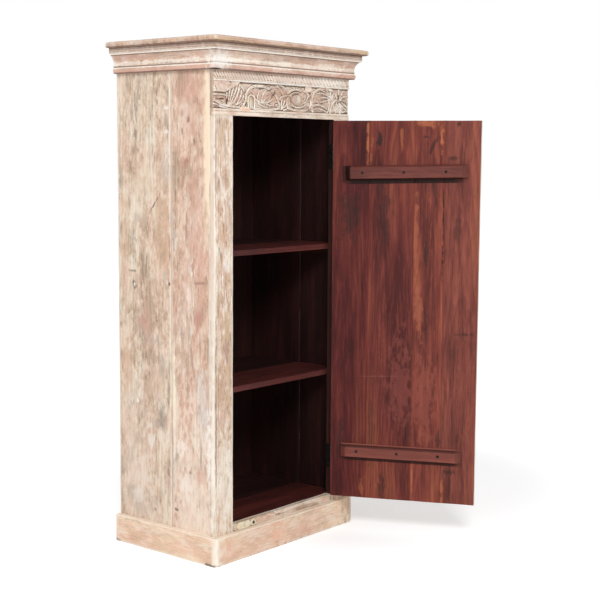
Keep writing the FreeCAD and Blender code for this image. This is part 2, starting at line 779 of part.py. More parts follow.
def scroll_outlines(centre, up_sign):
    """A pointed fruit with leaves that fan out round it, each as two arcs."""
    fruit_swell = s.fruit_width * -LEAF_HALF_SHARE
    outlines = [[
        (centre[0] - s.fruit_length / 2, centre[1], fruit_swell),
        (centre[0] + s.fruit_length / 2, centre[1], fruit_swell),
    ]]
    root = s.fruit_width * LEAF_ROOT_SHARE
    tip = root + s.leaf_length
    for number in range(LEAVES_PER_SCROLL):
        share = number / (LEAVES_PER_SCROLL - 1) - 1 / 2
        angle = math.radians(up_sign * (90 + FAN_SPREAD * share))
        across, along = math.cos(angle), math.sin(angle)
        bulge = s.leaf_width * -LEAF_HALF_SHARE
        wide = across * SCROLL_STRETCH_SHARE
        outlines.append([
            (centre[0] + root * wide, centre[1] + root * along, bulge),
            (centre[0] + tip * wide, centre[1] + tip * along, bulge),
        ])
    return outlines


def make_frieze():
    """The carved frieze: board, leaves and fruit, and the stem with its tendrils."""
    body = make_frieze_board()
    leaves = new_sketch(body, "Leaves", "XZ_Plane", -s.field_depth)
    pitch = s.carcass_width / SCROLLS
    solids = [stem_solid()]
    for number in range(SCROLLS):
        up_sign = 1 if number % 2 else -1
        centre = (pitch * (number + 1 / 2) - half_width, field_middle())
        for outline in scroll_outlines(centre, up_sign):
            draw_outline(leaves, outline)
        solids.append(tendril_solid(scroll_centre(number), -up_sign))
    pad(body, leaves, s.field_depth, taper=-s.carving_slope)
    scrolls = doc.addObject("Part::Feature", "Scrolls")
    scrolls.Shape = solids[0].multiFuse(solids[1:])
    frieze = doc.addObject("Part::Fuse", "Frieze")
    frieze.Base = body
    frieze.Tool = scrolls
    keep(frieze, "frieze_carved")


def door_board(label, start, width):
    """A door plank, given from the hinge edge towards the free edge."""
    right = door_hinge_edge - start
    left = right - width
    return board(label, (left, ZERO, door_bottom), (right, s.door_thickness, door_top))


def batten_middle(which):
    """Middle of a batten in the plane of the closed door."""
    if which == "upper":
        return -s.upper_batten_shift, door_top - s.upper_batten_drop
    return s.lower_batten_shift, door_bottom + s.lower_batten_rise


def batten_length():
    return door_width - s.batten_end_room * 2


def batten_tilt(which):
    """How far out of level a batten is: only the upper one is."""
    return s.upper_batten_tilt if which == "upper" else ZERO


def batten_screw_places():
    """Centres of the screws of both battens in the plane of the closed door."""
    places = []
    for which in ("upper", "lower"):
        middle_x, middle_z = batten_middle(which)
        tilt = batten_tilt(which)
        shift = getattr(s, f"{which}_screws_shift")
        pitch = batten_length() * s.batten_screw_share
        for number in range(SCREWS_PER_ROW):
            along = pitch * (number - (SCREWS_PER_ROW - 1) / 2) - shift
            places.append((middle_x - along * cosine(tilt), middle_z + along * sine(tilt)))
    return places


def make_door_planks():
    widths = [door_width * share for share in
              (s.door_plank_one_share, s.door_plank_two_share, s.door_plank_three_share)]
    widths.append(door_width - widths[0] - widths[1] - widths[2])
    start = ZERO
    for number, width in enumerate(widths):
        label = f"door_plank_{number + 1}"
        body, plank = door_board(label, start, width)
        joints = [door_hinge_edge - start] if number else []
        if number < len(widths) - 1:
            joints.append(door_hinge_edge - start - width)

        def on_joint(point, joints=tuple(joints)):
            return (any(near(point.x, joint) for joint in joints)
                    and (near(point.y, ZERO) or near(point.y, s.door_thickness)))

        ease(body, plank, on_joint, s.joint_bevel)
        low = (door_hinge_edge - start - width - screw_hole()).value
        high = (door_hinge_edge - start + screw_hole()).value
        screws = [spot for spot in batten_screw_places() if low < spot[0].value < high]
        sketch = new_sketch(body, "BattenScrewHoles", "XZ_Plane", -s.door_thickness)
        draw_screw_holes(sketch, screws)
        pocket(body, sketch, batten_bite(), reverse=True)
        if number == 0:
            cut_leaf_seats_in_door(body)
        start = start + width
        swing_with_door(keep(body, label))


def batten_bite():
    """How deep a batten screw goes into the door plank, with some room at its point."""
    shank_in_batten = s.batten_thickness - s.batten_sink_depth
    return s.batten_screw_length - shank_in_batten + s.screw_shank


def cut_leaf_seats_in_door(body):
    for height in hinge_heights.values():
        reach = s.hinge_length / 2 + s.hinge_seat_play
        seat(body, "LeafSeat", (door_hinge_edge - s.hinge_seat_depth, -s.overrun, height - reach),
             (door_hinge_edge + s.overrun, s.door_thickness + s.overrun, height + reach))
    sketch = new_sketch(body, "LeafScrewHoles", "YZ_Plane", door_hinge_edge)
    draw_screw_holes(sketch, hinge_screw_places())
    pocket(body, sketch, s.hinge_screw_length, reverse=False)


def make_battens():
    """Two battens bevelled all round, each with its row of sunk screw holes."""
    places = batten_screw_places()
    for which in ("upper", "lower"):
        label = f"door_batten_{which}"
        body = new_body(label)
        middle_x, middle_z = batten_middle(which)
        tilt = batten_tilt(which)
        inner_face = s.door_thickness + s.batten_thickness
        foot = new_sketch(body, "Foot", "XZ_Plane", -s.door_thickness)
        face = new_sketch(body, "Face", "XZ_Plane", -inner_face)
        draw_outline(foot, tilted_rectangle(middle_x, middle_z, batten_length(),
                                            s.batten_width, tilt))
        draw_outline(face, tilted_rectangle(middle_x, middle_z,
                                            batten_length() - s.batten_end_bevel * 2,
                                            s.batten_width - s.batten_edge_bevel * 2, tilt))
        loft = body.newObject("PartDesign::AdditiveLoft", "Bevelled")
        loft.Profile = foot
        loft.Sections = [face]
        loft.Ruled = True
        mine = places[:SCREWS_PER_ROW] if which == "upper" else places[SCREWS_PER_ROW:]
        sinks = new_sketch(body, "Sinks", "XZ_Plane", -inner_face)
        draw_screw_holes(sinks, mine, s.batten_sink_radius)
        pocket(body, sinks, s.batten_sink_depth, reverse=True)
        holes = new_sketch(body, "Holes", "XZ_Plane", -inner_face)
        draw_screw_holes(holes, mine)
        pocket(body, holes, s.batten_thickness, reverse=True)
        swing_with_door(keep(body, label))


def tilted_rectangle(middle_x, middle_z, length, width, tilt):
    """Corners of a rectangle whose long side rises towards the door's free edge."""
    corners = []
    for along_sign, up_sign in ((1, -1), (1, 1), (-1, 1), (-1, -1)):
        along = length * along_sign / 2
        up = width * up_sign / 2
        corners.append((middle_x - along * cosine(tilt) + up * sine(tilt),
                        middle_z + along * sine(tilt) + up * cosine(tilt)))
    return corners


def screw_hole():
    return s.screw_shank + s.screw_clearance


def primitive(kind, name, **sizes):
    return bind(doc.addObject(f"Part::{kind}", name), **sizes)


def fuse(name, pieces):
    joined = doc.addObject("Part::MultiFuse", name)
    joined.Shapes = pieces
    return joined


def cut(name, base, tool):
    result = doc.addObject("Part::Cut", name)
    result.Base = base
    result.Tool = tool
    return result


def aim(thing, axis_name, x, y, z):
    """Put a primitive that points up +Z at a place, pointing along another axis."""
    turns = {"+X": (Vector(0, 1, 0), 90), "-X": (Vector(0, 1, 0), -90),
             "+Y": (Vector(1, 0, 0), -90), "-Y": (Vector(1, 0, 0), 90)}
    axis, angle = turns[axis_name]
    thing.Placement = FreeCAD.Placement(Vector(0, 0, 0), FreeCAD.Rotation(axis, angle))
    return place(thing, x, y, z)


def hinge_screw_heights(middle):
    return [middle + s.hinge_screw_pitch * (number - (SCREWS_PER_ROW - 1) / 2)
            for number in range(SCREWS_PER_ROW)]


def hinge_screw_depth():
    """Distance of the hinge screws behind the face frame's front."""
    return (s.hinge_leaf_width + s.knuckle_play) / 2


def hinge_screw_places():
    return [(hinge_screw_depth(), height)
            for middle in hinge_heights.values()
            for height in hinge_screw_heights(middle)]


def leaf_faces(side):
    """X of the low and the high face of a leaf, with the door closed."""
    if side == "frame":
        high = opening_half + s.hinge_seat_depth
        return high - s.hinge_leaf_thickness, high
    low = door_hinge_edge - s.hinge_seat_depth
    return low, low + s.hinge_leaf_thickness


def knuckle_spans(side):
    """Bottom and height of each knuckle of a leaf, from the hinge's lower end."""
    pitch = s.hinge_length / KNUCKLES
    first = 0 if side == "frame" else 1
    return [(pitch * number + s.knuckle_play / 2, pitch - s.knuckle_play)
            for number in range(first, KNUCKLES, 2)]


def faceted(name, radius, tall):
    """A prism with the sides of a wood screw."""
    prism = primitive("Prism", name, Circumradius=radius, Height=tall)
    prism.Polygon = SCREW_SIDES
    return prism


def hinge_screw(name, side, height, play):
    """One hinge screw, driven in from the leaf's open face, or its hole when given a play."""
    low, high = leaf_faces(side)
    start, axis_name = (low, "+X") if side == "frame" else (high, "-X")
    head = faceted("ScrewHead", s.hinge_screw_head + play, s.hinge_head_height)
    shank = faceted("ScrewShank", s.screw_shank + play, s.hinge_screw_length)
    for piece in (head, shank):
        aim(piece, axis_name, start, hinge_screw_depth(), height)
    return fuse(name, [head, shank])


def make_leaf(which, side):
    """One leaf of a butt hinge: plate, rolled knuckles, pin bore and seats for the screws."""
    middle = hinge_heights[which]
    bottom = middle - s.hinge_length / 2
    low, high = leaf_faces(side)
    front = hinge_y + s.knuckle_radius + s.knuckle_play
    name = f"hinge_{which}_{side}_leaf"
    plate = primitive("Box", "Plate", Length=high - low, Width=s.hinge_leaf_width - front,
                      Height=s.hinge_length - s.knuckle_play)
    place(plate, low, front, bottom + s.knuckle_play / 2)
    pieces = [plate]
    for start, tall in knuckle_spans(side):
        knuckle = primitive("Cylinder", "Knuckle", Radius=s.knuckle_radius, Height=tall)
        place(knuckle, hinge_x, hinge_y, bottom + start)
        tab = primitive("Box", "Tab", Length=high - low,
                        Width=front - hinge_y / 2, Height=tall)
        place(tab, low, hinge_y / 2, bottom + start)
        pieces += [knuckle, tab]
    bore = primitive("Cylinder", "PinBore", Radius=s.pin_radius + s.pin_play,
                     Height=s.hinge_length)
    tools = [place(bore, hinge_x, hinge_y, bottom)]
    tools += [hinge_screw("ScrewSeat", side, height, s.screw_clearance)
              for height in hinge_screw_heights(middle)]
    leaf = cut(name, fuse("LeafBlank", pieces), fuse("LeafCuts", tools))
    if side == "door":
        swing_with_door(leaf)
    keep(leaf, name)


def make_hinge_screws(which, side):
    """The screws of one leaf, as separate solids."""
    middle = hinge_heights[which]
    screws = [hinge_screw("HingeScrew", side, height, ZERO)
              for height in hinge_screw_heights(middle)]
    group(f"hinge_{which}_{side}_screws", screws, with_door=(side == "door"))


def group(label, solids, with_door):
    """Keep several separate solids as one piece."""
    together = doc.addObject("Part::Compound", label)
    together.Links = solids
    if with_door:
        swing_with_door(together)
    keep(together, label)


def turned_piece(label, profile, x, y, z, axis_name=None):
    """A solid of revolution about its own Z axis, set at a place."""
    body = new_body(label)
    sketch = new_sketch(body, "HalfSection", "XZ_Plane")
    draw_outline(sketch, profile)
    turn = body.newObject("PartDesign::Revolution", "Revolution")
    turn.Profile = sketch
    turn.ReferenceAxis = (sketch, ["V_Axis"])
    turn.Angle = FULL_TURN
    if axis_name is None:
        place(body, x, y, z)
    else:
        aim(body, axis_name, x, y, z)
    return body


def make_hinge_pin(which):
    """A pin that drops through the knuckles and rests on its flat head."""
    reach = s.hinge_length / 2
    profile = [
        (ZERO, -reach),
        (s.pin_radius, -reach),
        (s.pin_radius, reach),
        (s.pin_head_radius, reach),
        (s.pin_head_radius, reach + s.pin_head_height),
        (ZERO, reach + s.pin_head_height),
    ]
    body = turned_piece(f"hinge_{which}_pin", profile, hinge_x, hinge_y, hinge_heights[which])
    keep(body, f"hinge_{which}_pin")


def make_hinges():
    for which in ("upper", "lower"):
        for side in ("frame", "door"):
            make_leaf(which, side)
            make_hinge_screws(which, side)
        make_hinge_pin(which)


def make_batten_screws():
    """The sunk screws that hold the battens, three in each."""
    head_foot = s.door_thickness + s.batten_thickness - s.batten_sink_depth
    places = batten_screw_places()
    for which, mine in (("upper", places[:SCREWS_PER_ROW]), ("lower", places[SCREWS_PER_ROW:])):
        screws = []
        for x, z in mine:
            head = faceted("ScrewHead", s.batten_screw_head, s.batten_head_height)
            aim(head, "+Y", x, head_foot, z)
            shank = faceted("ScrewShank", s.screw_shank, s.batten_screw_length)
            aim(shank, "-Y", x, head_foot, z)
            screws.append(fuse("BattenScrew", [head, shank]))
        group(f"batten_screws_{which}", screws, with_door=True)


def button_pivot_x():
    return s.button_pivot_reach - opening_half


def button_pivot_z():
    return s.threshold_height - s.button_pivot_drop


def make_turn_button():
    """A turn button below the door: a thumb plate that swings up over its lower edge."""
    body = new_body("turn_button")
    x, z = button_pivot_x(), button_pivot_z()
    half_height = s.button_plate_height / 2
    straight = s.button_plate_length / 2 - half_height
    middle = x - s.button_plate_reach
    oval = new_sketch(body, "ThumbPlate", "XZ_Plane", s.button_standoff)
    end = straight + half_height
    swell = -half_height * QUARTER_SWELL_SHARE
    draw_outline(oval, [(middle - straight, z - half_height),
                        (middle + straight, z - half_height, swell),
                        (middle + end, z, swell),
                        (middle + straight, z + half_height),
                        (middle - straight, z + half_height, swell),
                        (middle - end, z, swell)])
    pad(body, oval, s.button_thickness)
    neck = new_sketch(body, "Neck", "XZ_Plane", s.button_standoff)
    draw_outline(neck, [(middle, z - s.button_neck / 2), (x, z - s.button_neck / 2),
                        (x, z + s.button_neck / 2), (middle, z + s.button_neck / 2)])
    pad(body, neck, s.button_thickness)
    boss = new_sketch(body, "Boss", "XZ_Plane", s.button_standoff)
    draw_circles(boss, [(x, z)], s.button_boss_radius)
    whole = pad(body, boss, s.button_thickness)
    front = -(s.button_standoff + s.button_thickness)

    def front_rim(point):
        return near(point.y, front)

    ease(body, whole, front_rim, s.button_edge)
    pivot = new_sketch(body, "PivotHole", "XZ_Plane", -front)
    draw_circles(pivot, [(x, z)], screw_hole())
    pocket(body, pivot, s.button_thickness)
    thumb = new_sketch(body, "ThumbHole", "XZ_Plane", -front)
    draw_circles(thumb, [(middle, z)], s.button_hole)
    pocket(body, thumb, s.button_thickness)
    keep(body, "turn_button")


def make_button_fixings():
    """The pivot screw, driven into the threshold, and the washer behind the button."""
    dome = s.button_head_height
    grip = s.button_standoff + s.button_thickness + s.running_gap
    profile = [
        (ZERO, -s.button_screw_length),
        (s.screw_shank, -s.button_screw_length),
        (s.screw_shank, grip),
        (s.button_screw_head, grip, -dome * DOME_SWELL_SHARE),
        (s.button_screw_head * DOME_FLAT_SHARE, grip + dome),
        (ZERO, grip + dome),
    ]
    x, z = button_pivot_x(), button_pivot_z()
    screw = turned_piece("turn_button_screw", profile, x, ZERO, z, "-Y")
    keep(screw, "turn_button_screw")
    ring = new_body("turn_button_washer")
    sketch = new_sketch(ring, "Ring", "XZ_Plane")
    draw_circles(sketch, [(x, z)], s.washer_radius)
    draw_circles(sketch, [(x, z)], screw_hole())
    pad(ring, sketch, s.button_standoff - s.running_gap)
    keep(ring, "turn_button_washer")


def build():
    make_plinth()
    make_sides()
    make_back()
    make_threshold()
    make_stiles()
    make_frieze()
    make_top_rail()
    make_cornice()
    make_top()
    make_shelf("floor", floor_top, s.frame_thickness)
    make_shelf("shelf_lower", lower_shelf_top, shelf_front)
    make_shelf("shelf_upper", upper_shelf_top, shelf_front)
    make_door_planks()
    make_battens()
    make_batten_screws()
    make_hinges()
    make_turn_button()
    make_button_fixings()
    doc.recompute()


def export():
    """Check every object, then write one file per piece."""
    for thing in doc.Objects:
        if "Invalid" in thing.State or "Error" in thing.State:
            raise RuntimeError(f"{thing.Name} ({thing.Label}) did not build: {thing.State}")
    os.makedirs("parts", exist_ok=True)
    for piece in PARTS:
        shape = piece.Shape
        if shape.isNull() or not shape.isValid():
            raise RuntimeError(f"{piece.Label} has no valid shape")
        shape.exportStep(f"parts/{piece.Label}.step")
        print(piece.Label, len(shape.Solids), round(shape.Volume))


build()
export()
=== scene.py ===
"""Looks of a tall limewashed cabinet with a carved frieze and a stained plank door.

Metres. X runs to the right seen from the front, Y to the back and Z up. The origin is on the
floor, at mid width, in the plane of the face frame's front.
"""

import json
import logging
import math
from dataclasses import dataclass, field
from enum import Enum
from random import Random
from typing import Callable, Sequence, Union

import bmesh
import bpy
import numpy as np
from mathutils import Matrix, Vector, noise
from mathutils.bvhtree import BVHTree


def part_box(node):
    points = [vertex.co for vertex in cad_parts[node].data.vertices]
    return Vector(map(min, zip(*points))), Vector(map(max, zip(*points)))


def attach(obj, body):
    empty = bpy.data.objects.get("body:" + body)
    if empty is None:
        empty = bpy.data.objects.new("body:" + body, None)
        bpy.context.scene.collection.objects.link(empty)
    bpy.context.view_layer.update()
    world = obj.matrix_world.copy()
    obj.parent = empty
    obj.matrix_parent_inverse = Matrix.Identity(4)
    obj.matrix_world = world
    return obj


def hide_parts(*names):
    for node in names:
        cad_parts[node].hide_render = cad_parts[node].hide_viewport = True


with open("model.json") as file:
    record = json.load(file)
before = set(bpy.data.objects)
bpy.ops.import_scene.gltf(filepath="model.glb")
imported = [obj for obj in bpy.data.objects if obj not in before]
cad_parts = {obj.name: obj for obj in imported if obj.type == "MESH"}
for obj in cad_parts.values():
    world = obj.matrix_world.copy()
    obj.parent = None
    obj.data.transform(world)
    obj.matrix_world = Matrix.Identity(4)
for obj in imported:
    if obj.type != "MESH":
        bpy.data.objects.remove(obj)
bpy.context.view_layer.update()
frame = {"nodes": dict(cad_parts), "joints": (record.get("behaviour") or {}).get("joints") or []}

LOG = logging.getLogger("cabinet")
Colour = tuple[float, float, float]
Socket = bpy.types.NodeSocket
Value = Union[Socket, float, Sequence[float]]
FaceTest = Callable[[Vector, Vector], bool]

MM = 0.001
DOOR_JOINT = next(joint for joint in frame["joints"] if joint["name"] == "door_swing")
DOOR_OPEN = math.radians(115.0)
HINGE_LINE = Vector(DOOR_JOINT["pos_m"])
ROW_TO_CLOSED = (Matrix.Translation(HINGE_LINE) @ Matrix.Rotation(-DOOR_OPEN, 4, "Z")
                 @ Matrix.Translation(-HINGE_LINE))
CLOSED_TO_ROW = ROW_TO_CLOSED.inverted()


class Body(Enum):
    """The bodies that pieces ride on."""

    CARCASS = "carcass"
    DOOR = "door"
    BUTTON = "turn_button"


class Grain(Enum):
    """Which way a board's grain runs with the door closed, as axes across, through, along."""

    UPRIGHT = (0, 1, 2)
    CROSSWISE = (2, 1, 0)
    FORE_AND_AFT = (2, 0, 1)


def to_closed(point: Vector, body: Body) -> Vector:
    """Bring a point of the open door back to where it is with the door closed.

    Args:
        point: A point in the row frame.
        body: The body that the point belongs to.

    Returns:
        The point with the door closed, or the same point on any other body.
    """
    return ROW_TO_CLOSED @ point if body is Body.DOOR else point.copy()


def turn_to_closed(direction: Vector, body: Body) -> Vector:
    """Turn a direction of the open door back to the closed door's.

    Args:
        direction: A direction in the row frame.
        body: The body that the direction belongs to.

    Returns:
        The direction with the door closed.
    """
    return ROW_TO_CLOSED.to_3x3() @ direction if body is Body.DOOR else direction.copy()


def finish_object(mesh: bpy.types.Mesh, name: str, body: Body) -> bpy.types.Object:
    """Put a mesh in the scene as a piece that rides on a body.

    Args:
        mesh: The finished mesh, in the row frame.
        name: Name of the piece.
        body: The body that it rides on.

    Returns:
        The new object.
    """
    thing = bpy.data.objects.new(name, mesh)
    bpy.context.scene.collection.objects.link(thing)
    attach(thing, body.value)
    return thing


class Graph:
    """Adds nodes to one shader tree and joins them."""

    def __init__(self, tree: bpy.types.NodeTree) -> None:
        """Start with an existing tree."""
        self.tree = tree

    def add(self, kind: str, **settings: object) -> bpy.types.Node:
        """Add a node and set its plain properties.

        Args:
            kind: The node's type name, without its ShaderNode prefix.
            **settings: Properties to set on the node.

        Returns:
            The new node.
        """
        node = self.tree.nodes.new("ShaderNode" + kind)
        for name, value in settings.items():
            setattr(node, name, value)
        return node

    def feed(self, socket: Socket, value: Value) -> None:
        """Link a socket, or set its value.

        Args:
            socket: The input to feed.
            value: Another node's output, a number or a tuple of numbers.
        """
        if isinstance(value, bpy.types.NodeSocket):
            self.tree.links.new(value, socket)
        elif isinstance(value, (int, float)):
            socket.default_value = float(value)
        else:
            numbers = list(value)
            if socket.type == "RGBA" and len(numbers) == 3:
                numbers.append(1.0)
            socket.default_value = numbers

    def math(self, operation: str, first: Value, second: Value = 0.0,
             clamp: bool = False) -> Socket:
        """A sum of two numbers.

        Args:
            operation: Name of the operation.
            first: First number.
            second: Second number.
            clamp: Whether the result is held between 0 and 1.

        Returns:
            The result.
        """
        node = self.add("Math", operation=operation, use_clamp=clamp)
        self.feed(node.inputs[0], first)
        self.feed(node.inputs[1], second)
        return node.outputs[0]

    def vector(self, operation: str, first: Value, second: Value) -> Socket:
        """A sum of two vectors.

        Args:
            operation: Name of the operation.
            first: First vector.
            second: Second vector.

        Returns:
            The vector or, for a length or a distance, the number.
        """
        node = self.add("VectorMath", operation=operation)
        self.feed(node.inputs[0], first)
        self.feed(node.inputs[1], second)
        return node.outputs[1 if operation in ("LENGTH", "DISTANCE", "DOT_PRODUCT") else 0]

    def remap(self, value: Value, low: float, high: float, start: float = 0.0,
              stop: Value = 1.0) -> Socket:
        """Ease a number from one range into another.

        Args:
            value: The number.
            low: Where it starts to count.
            high: Where it counts in full; it may be less than low.
            start: Result at low.
            stop: Result at high.

        Returns:
            The result.
        """
        node = self.add("MapRange", interpolation_type="SMOOTHSTEP")
        for index, number in enumerate((value, low, high, start, stop)):
            self.feed(node.inputs[index], number)
        return node.outputs[0]

    def noise(self, vector: Value, stretch: Sequence[float], detail: float = 2.0,
              roughness: float = 0.5, shift: Value = 0.0, twist: float = 0.0) -> Socket:
        """Noise that is drawn out along the grain.

        Args:
            vector: Where to read it.
            stretch: Features per metre across, through and along.
            detail: Levels of finer noise.
            roughness: Strength of the finer levels.
            shift: Moves the pattern, so that two noises differ.
            twist: How far the pattern is bent out of line.

        Returns:
            The noise, about 0.3 to 0.7.
        """
        node = self.add("TexNoise", noise_dimensions="4D")
        self.feed(node.inputs["Vector"], self.vector("MULTIPLY", vector, stretch))
        self.feed(node.inputs["W"], shift)
        node.inputs["Scale"].default_value = 1.0
        node.inputs["Detail"].default_value = detail
        node.inputs["Roughness"].default_value = roughness
        node.inputs["Distortion"].default_value = twist
        return node.outputs["Fac"]

    def mix(self, share: Value, first: Value, second: Value, blend: str = "MIX") -> Socket:
        """Mix two colours.

        Args:
            share: How much of the second colour shows.
            first: First colour.
            second: Second colour.
            blend: How they are mixed.

        Returns:
            The mixed colour.
        """
        node = self.add("Mix", data_type="RGBA", blend_type=blend)
        self.feed(node.inputs[0], share)
        self.feed(node.inputs[6], first)
        self.feed(node.inputs[7], second)
        return node.outputs[2]

    def attribute(self, name: str, output: str = "Vector") -> Socket:
        """Read a value that the mesh carries at its points."""
        return self.add("Attribute", attribute_name=name).outputs[output]


class Effect:
    """A node group that is built once and placed in any material."""

    name = "effect"
    inputs: dict[str, tuple[str, object]] = {}
    outputs: dict[str, str] = {}

    @classmethod
    def tree(cls) -> bpy.types.NodeTree:
        """Find the group, or build it the first time.

        Returns:
            The group's tree.
        """
        found = bpy.data.node_groups.get(cls.name)
        if found:
            return found
        tree = bpy.data.node_groups.new(cls.name, "ShaderNodeTree")
        for name, (kind, value) in cls.inputs.items():
            socket = tree.interface.new_socket(name, in_out="INPUT", socket_type=kind)
            if value is not None:
                socket.default_value = value
        for name, kind in cls.outputs.items():
            tree.interface.new_socket(name, in_out="OUTPUT", socket_type=kind)
        source = tree.nodes.new("NodeGroupInput")
        target = tree.nodes.new("NodeGroupOutput")
        cls.build(Graph(tree), source.outputs, target.inputs)
        return tree

    @classmethod
    def build(cls, graph: Graph, source: bpy.types.NodeOutputs,
              target: bpy.types.NodeInputs) -> None:
        """Fill the group. Each effect has its own.

        Args:
            graph: The group's graph.
            source: The group's inputs, seen from inside.
            target: The group's outputs, seen from inside.
        """
        raise NotImplementedError

    @classmethod
    def place(cls, graph: Graph, **values: Value) -> bpy.types.NodeOutputs:
        """Put the group in a material.

        Args:
            graph: The material's graph.
            **values: Values by input name, with _ for a space.

        Returns:
            The group's outputs.
        """
        node = graph.add("Group", node_tree=cls.tree())
        for name, value in values.items():
            graph.feed(node.inputs[name.replace("_", " ")], value)
        return node.outputs


NUMBER = "NodeSocketFloat"
VECTOR = "NodeSocketVector"
COLOUR = "NodeSocketColor"
WHITE_DEFAULT = (1.0, 1.0, 1.0, 1.0)


class GrainEffect(Effect):
    """Fibres, flecks, streaks, rings and patches of a board, from its grain coordinates."""

    name = "board_grain"
    inputs = {"Vector": (VECTOR, None), "Seed": (NUMBER, 0.0), "Ring Pitch": (NUMBER, 0.008),
              "Pith": (NUMBER, 0.02), "Slope": (NUMBER, 0.02), "Eyes": (NUMBER, 0.0),
              "Wander": (NUMBER, 0.02), "Draw": (NUMBER, 1.0)}
    outputs = {"Fibre": NUMBER, "Fleck": NUMBER, "Streak": NUMBER, "Broad": NUMBER,
               "Ring": NUMBER, "Patch": NUMBER, "Blot": NUMBER, "Height": NUMBER}

    DRIFT = (7.0, 7.0, 2.0)
    LAYERS = (
        ("Fibre", (260.0, 260.0, 32.0), 5.0, 0.7, 0.0),
        ("Fleck", (210.0, 210.0, 44.0), 3.0, 0.65, 0.0),
        ("Streak", (48.0, 48.0, 8.0), 4.0, 0.66, 0.7),
        ("Broad", (23.0, 23.0, 3.2), 3.0, 0.58, 0.0),
        ("Patch", (10.0, 10.0, 4.4), 4.0, 0.58, 0.0),
        ("Blot", (28.0, 28.0, 13.0), 6.0, 0.7, 0.5),
    )
    LIFT = (5.0, 5.0, 2.2)
    LIFT_REACH = 0.05
    RING_RISE, RING_FALL = (0.0, 0.78), (1.0, 0.88)
    FLECKS = (0.56, 0.68)
    FIBRE_RELIEF, STREAK_RELIEF, FLECK_RELIEF = 0.6, 0.5, 0.3

    @classmethod
    def build(cls, graph: Graph, source: bpy.types.NodeOutputs,
              target: bpy.types.NodeInputs) -> None:
        """Draw every part of the grain from one wandering set of coordinates.

        Args:
            graph: The group's graph.
            source: The group's inputs, seen from inside.
            target: The group's outputs, seen from inside.
        """
        def seeded(shift: float) -> Socket:
            """The board's own place in the noise."""
            return graph.math("ADD", source["Seed"], shift)

        drift = graph.noise(source["Vector"], cls.DRIFT, detail=3.0, shift=seeded(0.0))
        drift = graph.math("MULTIPLY", graph.math("SUBTRACT", drift, 0.5), source["Wander"])
        offset = graph.add("CombineXYZ")
        graph.feed(offset.inputs[0], drift)
        place = graph.vector("ADD", source["Vector"], offset.outputs[0])
        pull = graph.add("CombineXYZ")
        for index, number in enumerate((1.0, 1.0, source["Draw"])):
            graph.feed(pull.inputs[index], number)
        drawn = graph.vector("MULTIPLY", place, pull.outputs[0])

        layers = {name: graph.noise(drawn, stretch, detail, roughness, seeded(number), warp)
                  for number, (name, stretch, detail, roughness, warp)
                  in enumerate(cls.LAYERS, start=1)}

        split = graph.add("SeparateXYZ")
        graph.feed(split.inputs[0], place)
        along = graph.math("MULTIPLY", split.outputs[2], source["Slope"])
        lift = graph.noise(place, cls.LIFT, 2.0, 0.5, seeded(len(cls.LAYERS) + 1))
        lift = graph.math("MULTIPLY", graph.math("SUBTRACT", lift, 0.5), cls.LIFT_REACH)
        depth = graph.math("ADD", graph.math("ADD", along, lift), split.outputs[1])
        aside = graph.math("SUBTRACT", split.outputs[0], source["Pith"])
        square = graph.math("ADD", graph.math("MULTIPLY", depth, depth),
                            graph.math("MULTIPLY", aside, aside))
        phase = graph.math("DIVIDE", graph.math("SQRT", square), source["Ring Pitch"])
        phase = graph.math("ADD", phase, source["Eyes"])
        ring = graph.math("FRACT", phase)
        layers["Ring"] = graph.math("MULTIPLY", graph.remap(ring, *cls.RING_RISE),
                                    graph.remap(ring, *cls.RING_FALL))

        layers["Fleck"] = graph.remap(layers["Fleck"], *cls.FLECKS)
        height = graph.math("ADD", graph.math("MULTIPLY", layers["Fibre"], cls.FIBRE_RELIEF),
                            graph.math("MULTIPLY", layers["Streak"], cls.STREAK_RELIEF))
        layers["Height"] = graph.math(
            "SUBTRACT", height, graph.math("MULTIPLY", layers["Fleck"], cls.FLECK_RELIEF))
        for name, value in layers.items():
            graph.feed(target[name], value)


class SpotEffect(Effect):
    """A soft oval place on the object, such as a knot, a stain or a worn patch."""

    name = "oval_spot"
    inputs = {"Place": (VECTOR, None), "Centre": (VECTOR, None), "Reach": (VECTOR, None),
              "Ragged": (NUMBER, 0.0)}
    outputs = {"Mask": NUMBER}

    FALL = -1.6

    @classmethod
    def build(cls, graph: Graph, source: bpy.types.NodeOutputs,
              target: bpy.types.NodeInputs) -> None:
        """Fade a bell-shaped mask with the distance from the centre.

        Args:
            graph: The group's graph.
            source: The group's inputs, seen from inside.
            target: The group's outputs, seen from inside.
        """
        away = graph.vector("DIVIDE", graph.vector("SUBTRACT", source["Place"],
                                                   source["Centre"]), source["Reach"])
        length = graph.vector("LENGTH", away, (0.0, 0.0, 0.0))
        length = graph.math("ADD", length, source["Ragged"])
        square = graph.math("MULTIPLY", graph.math("MULTIPLY", length, length), cls.FALL)
        graph.feed(target["Mask"], graph.math("EXPONENT", square))


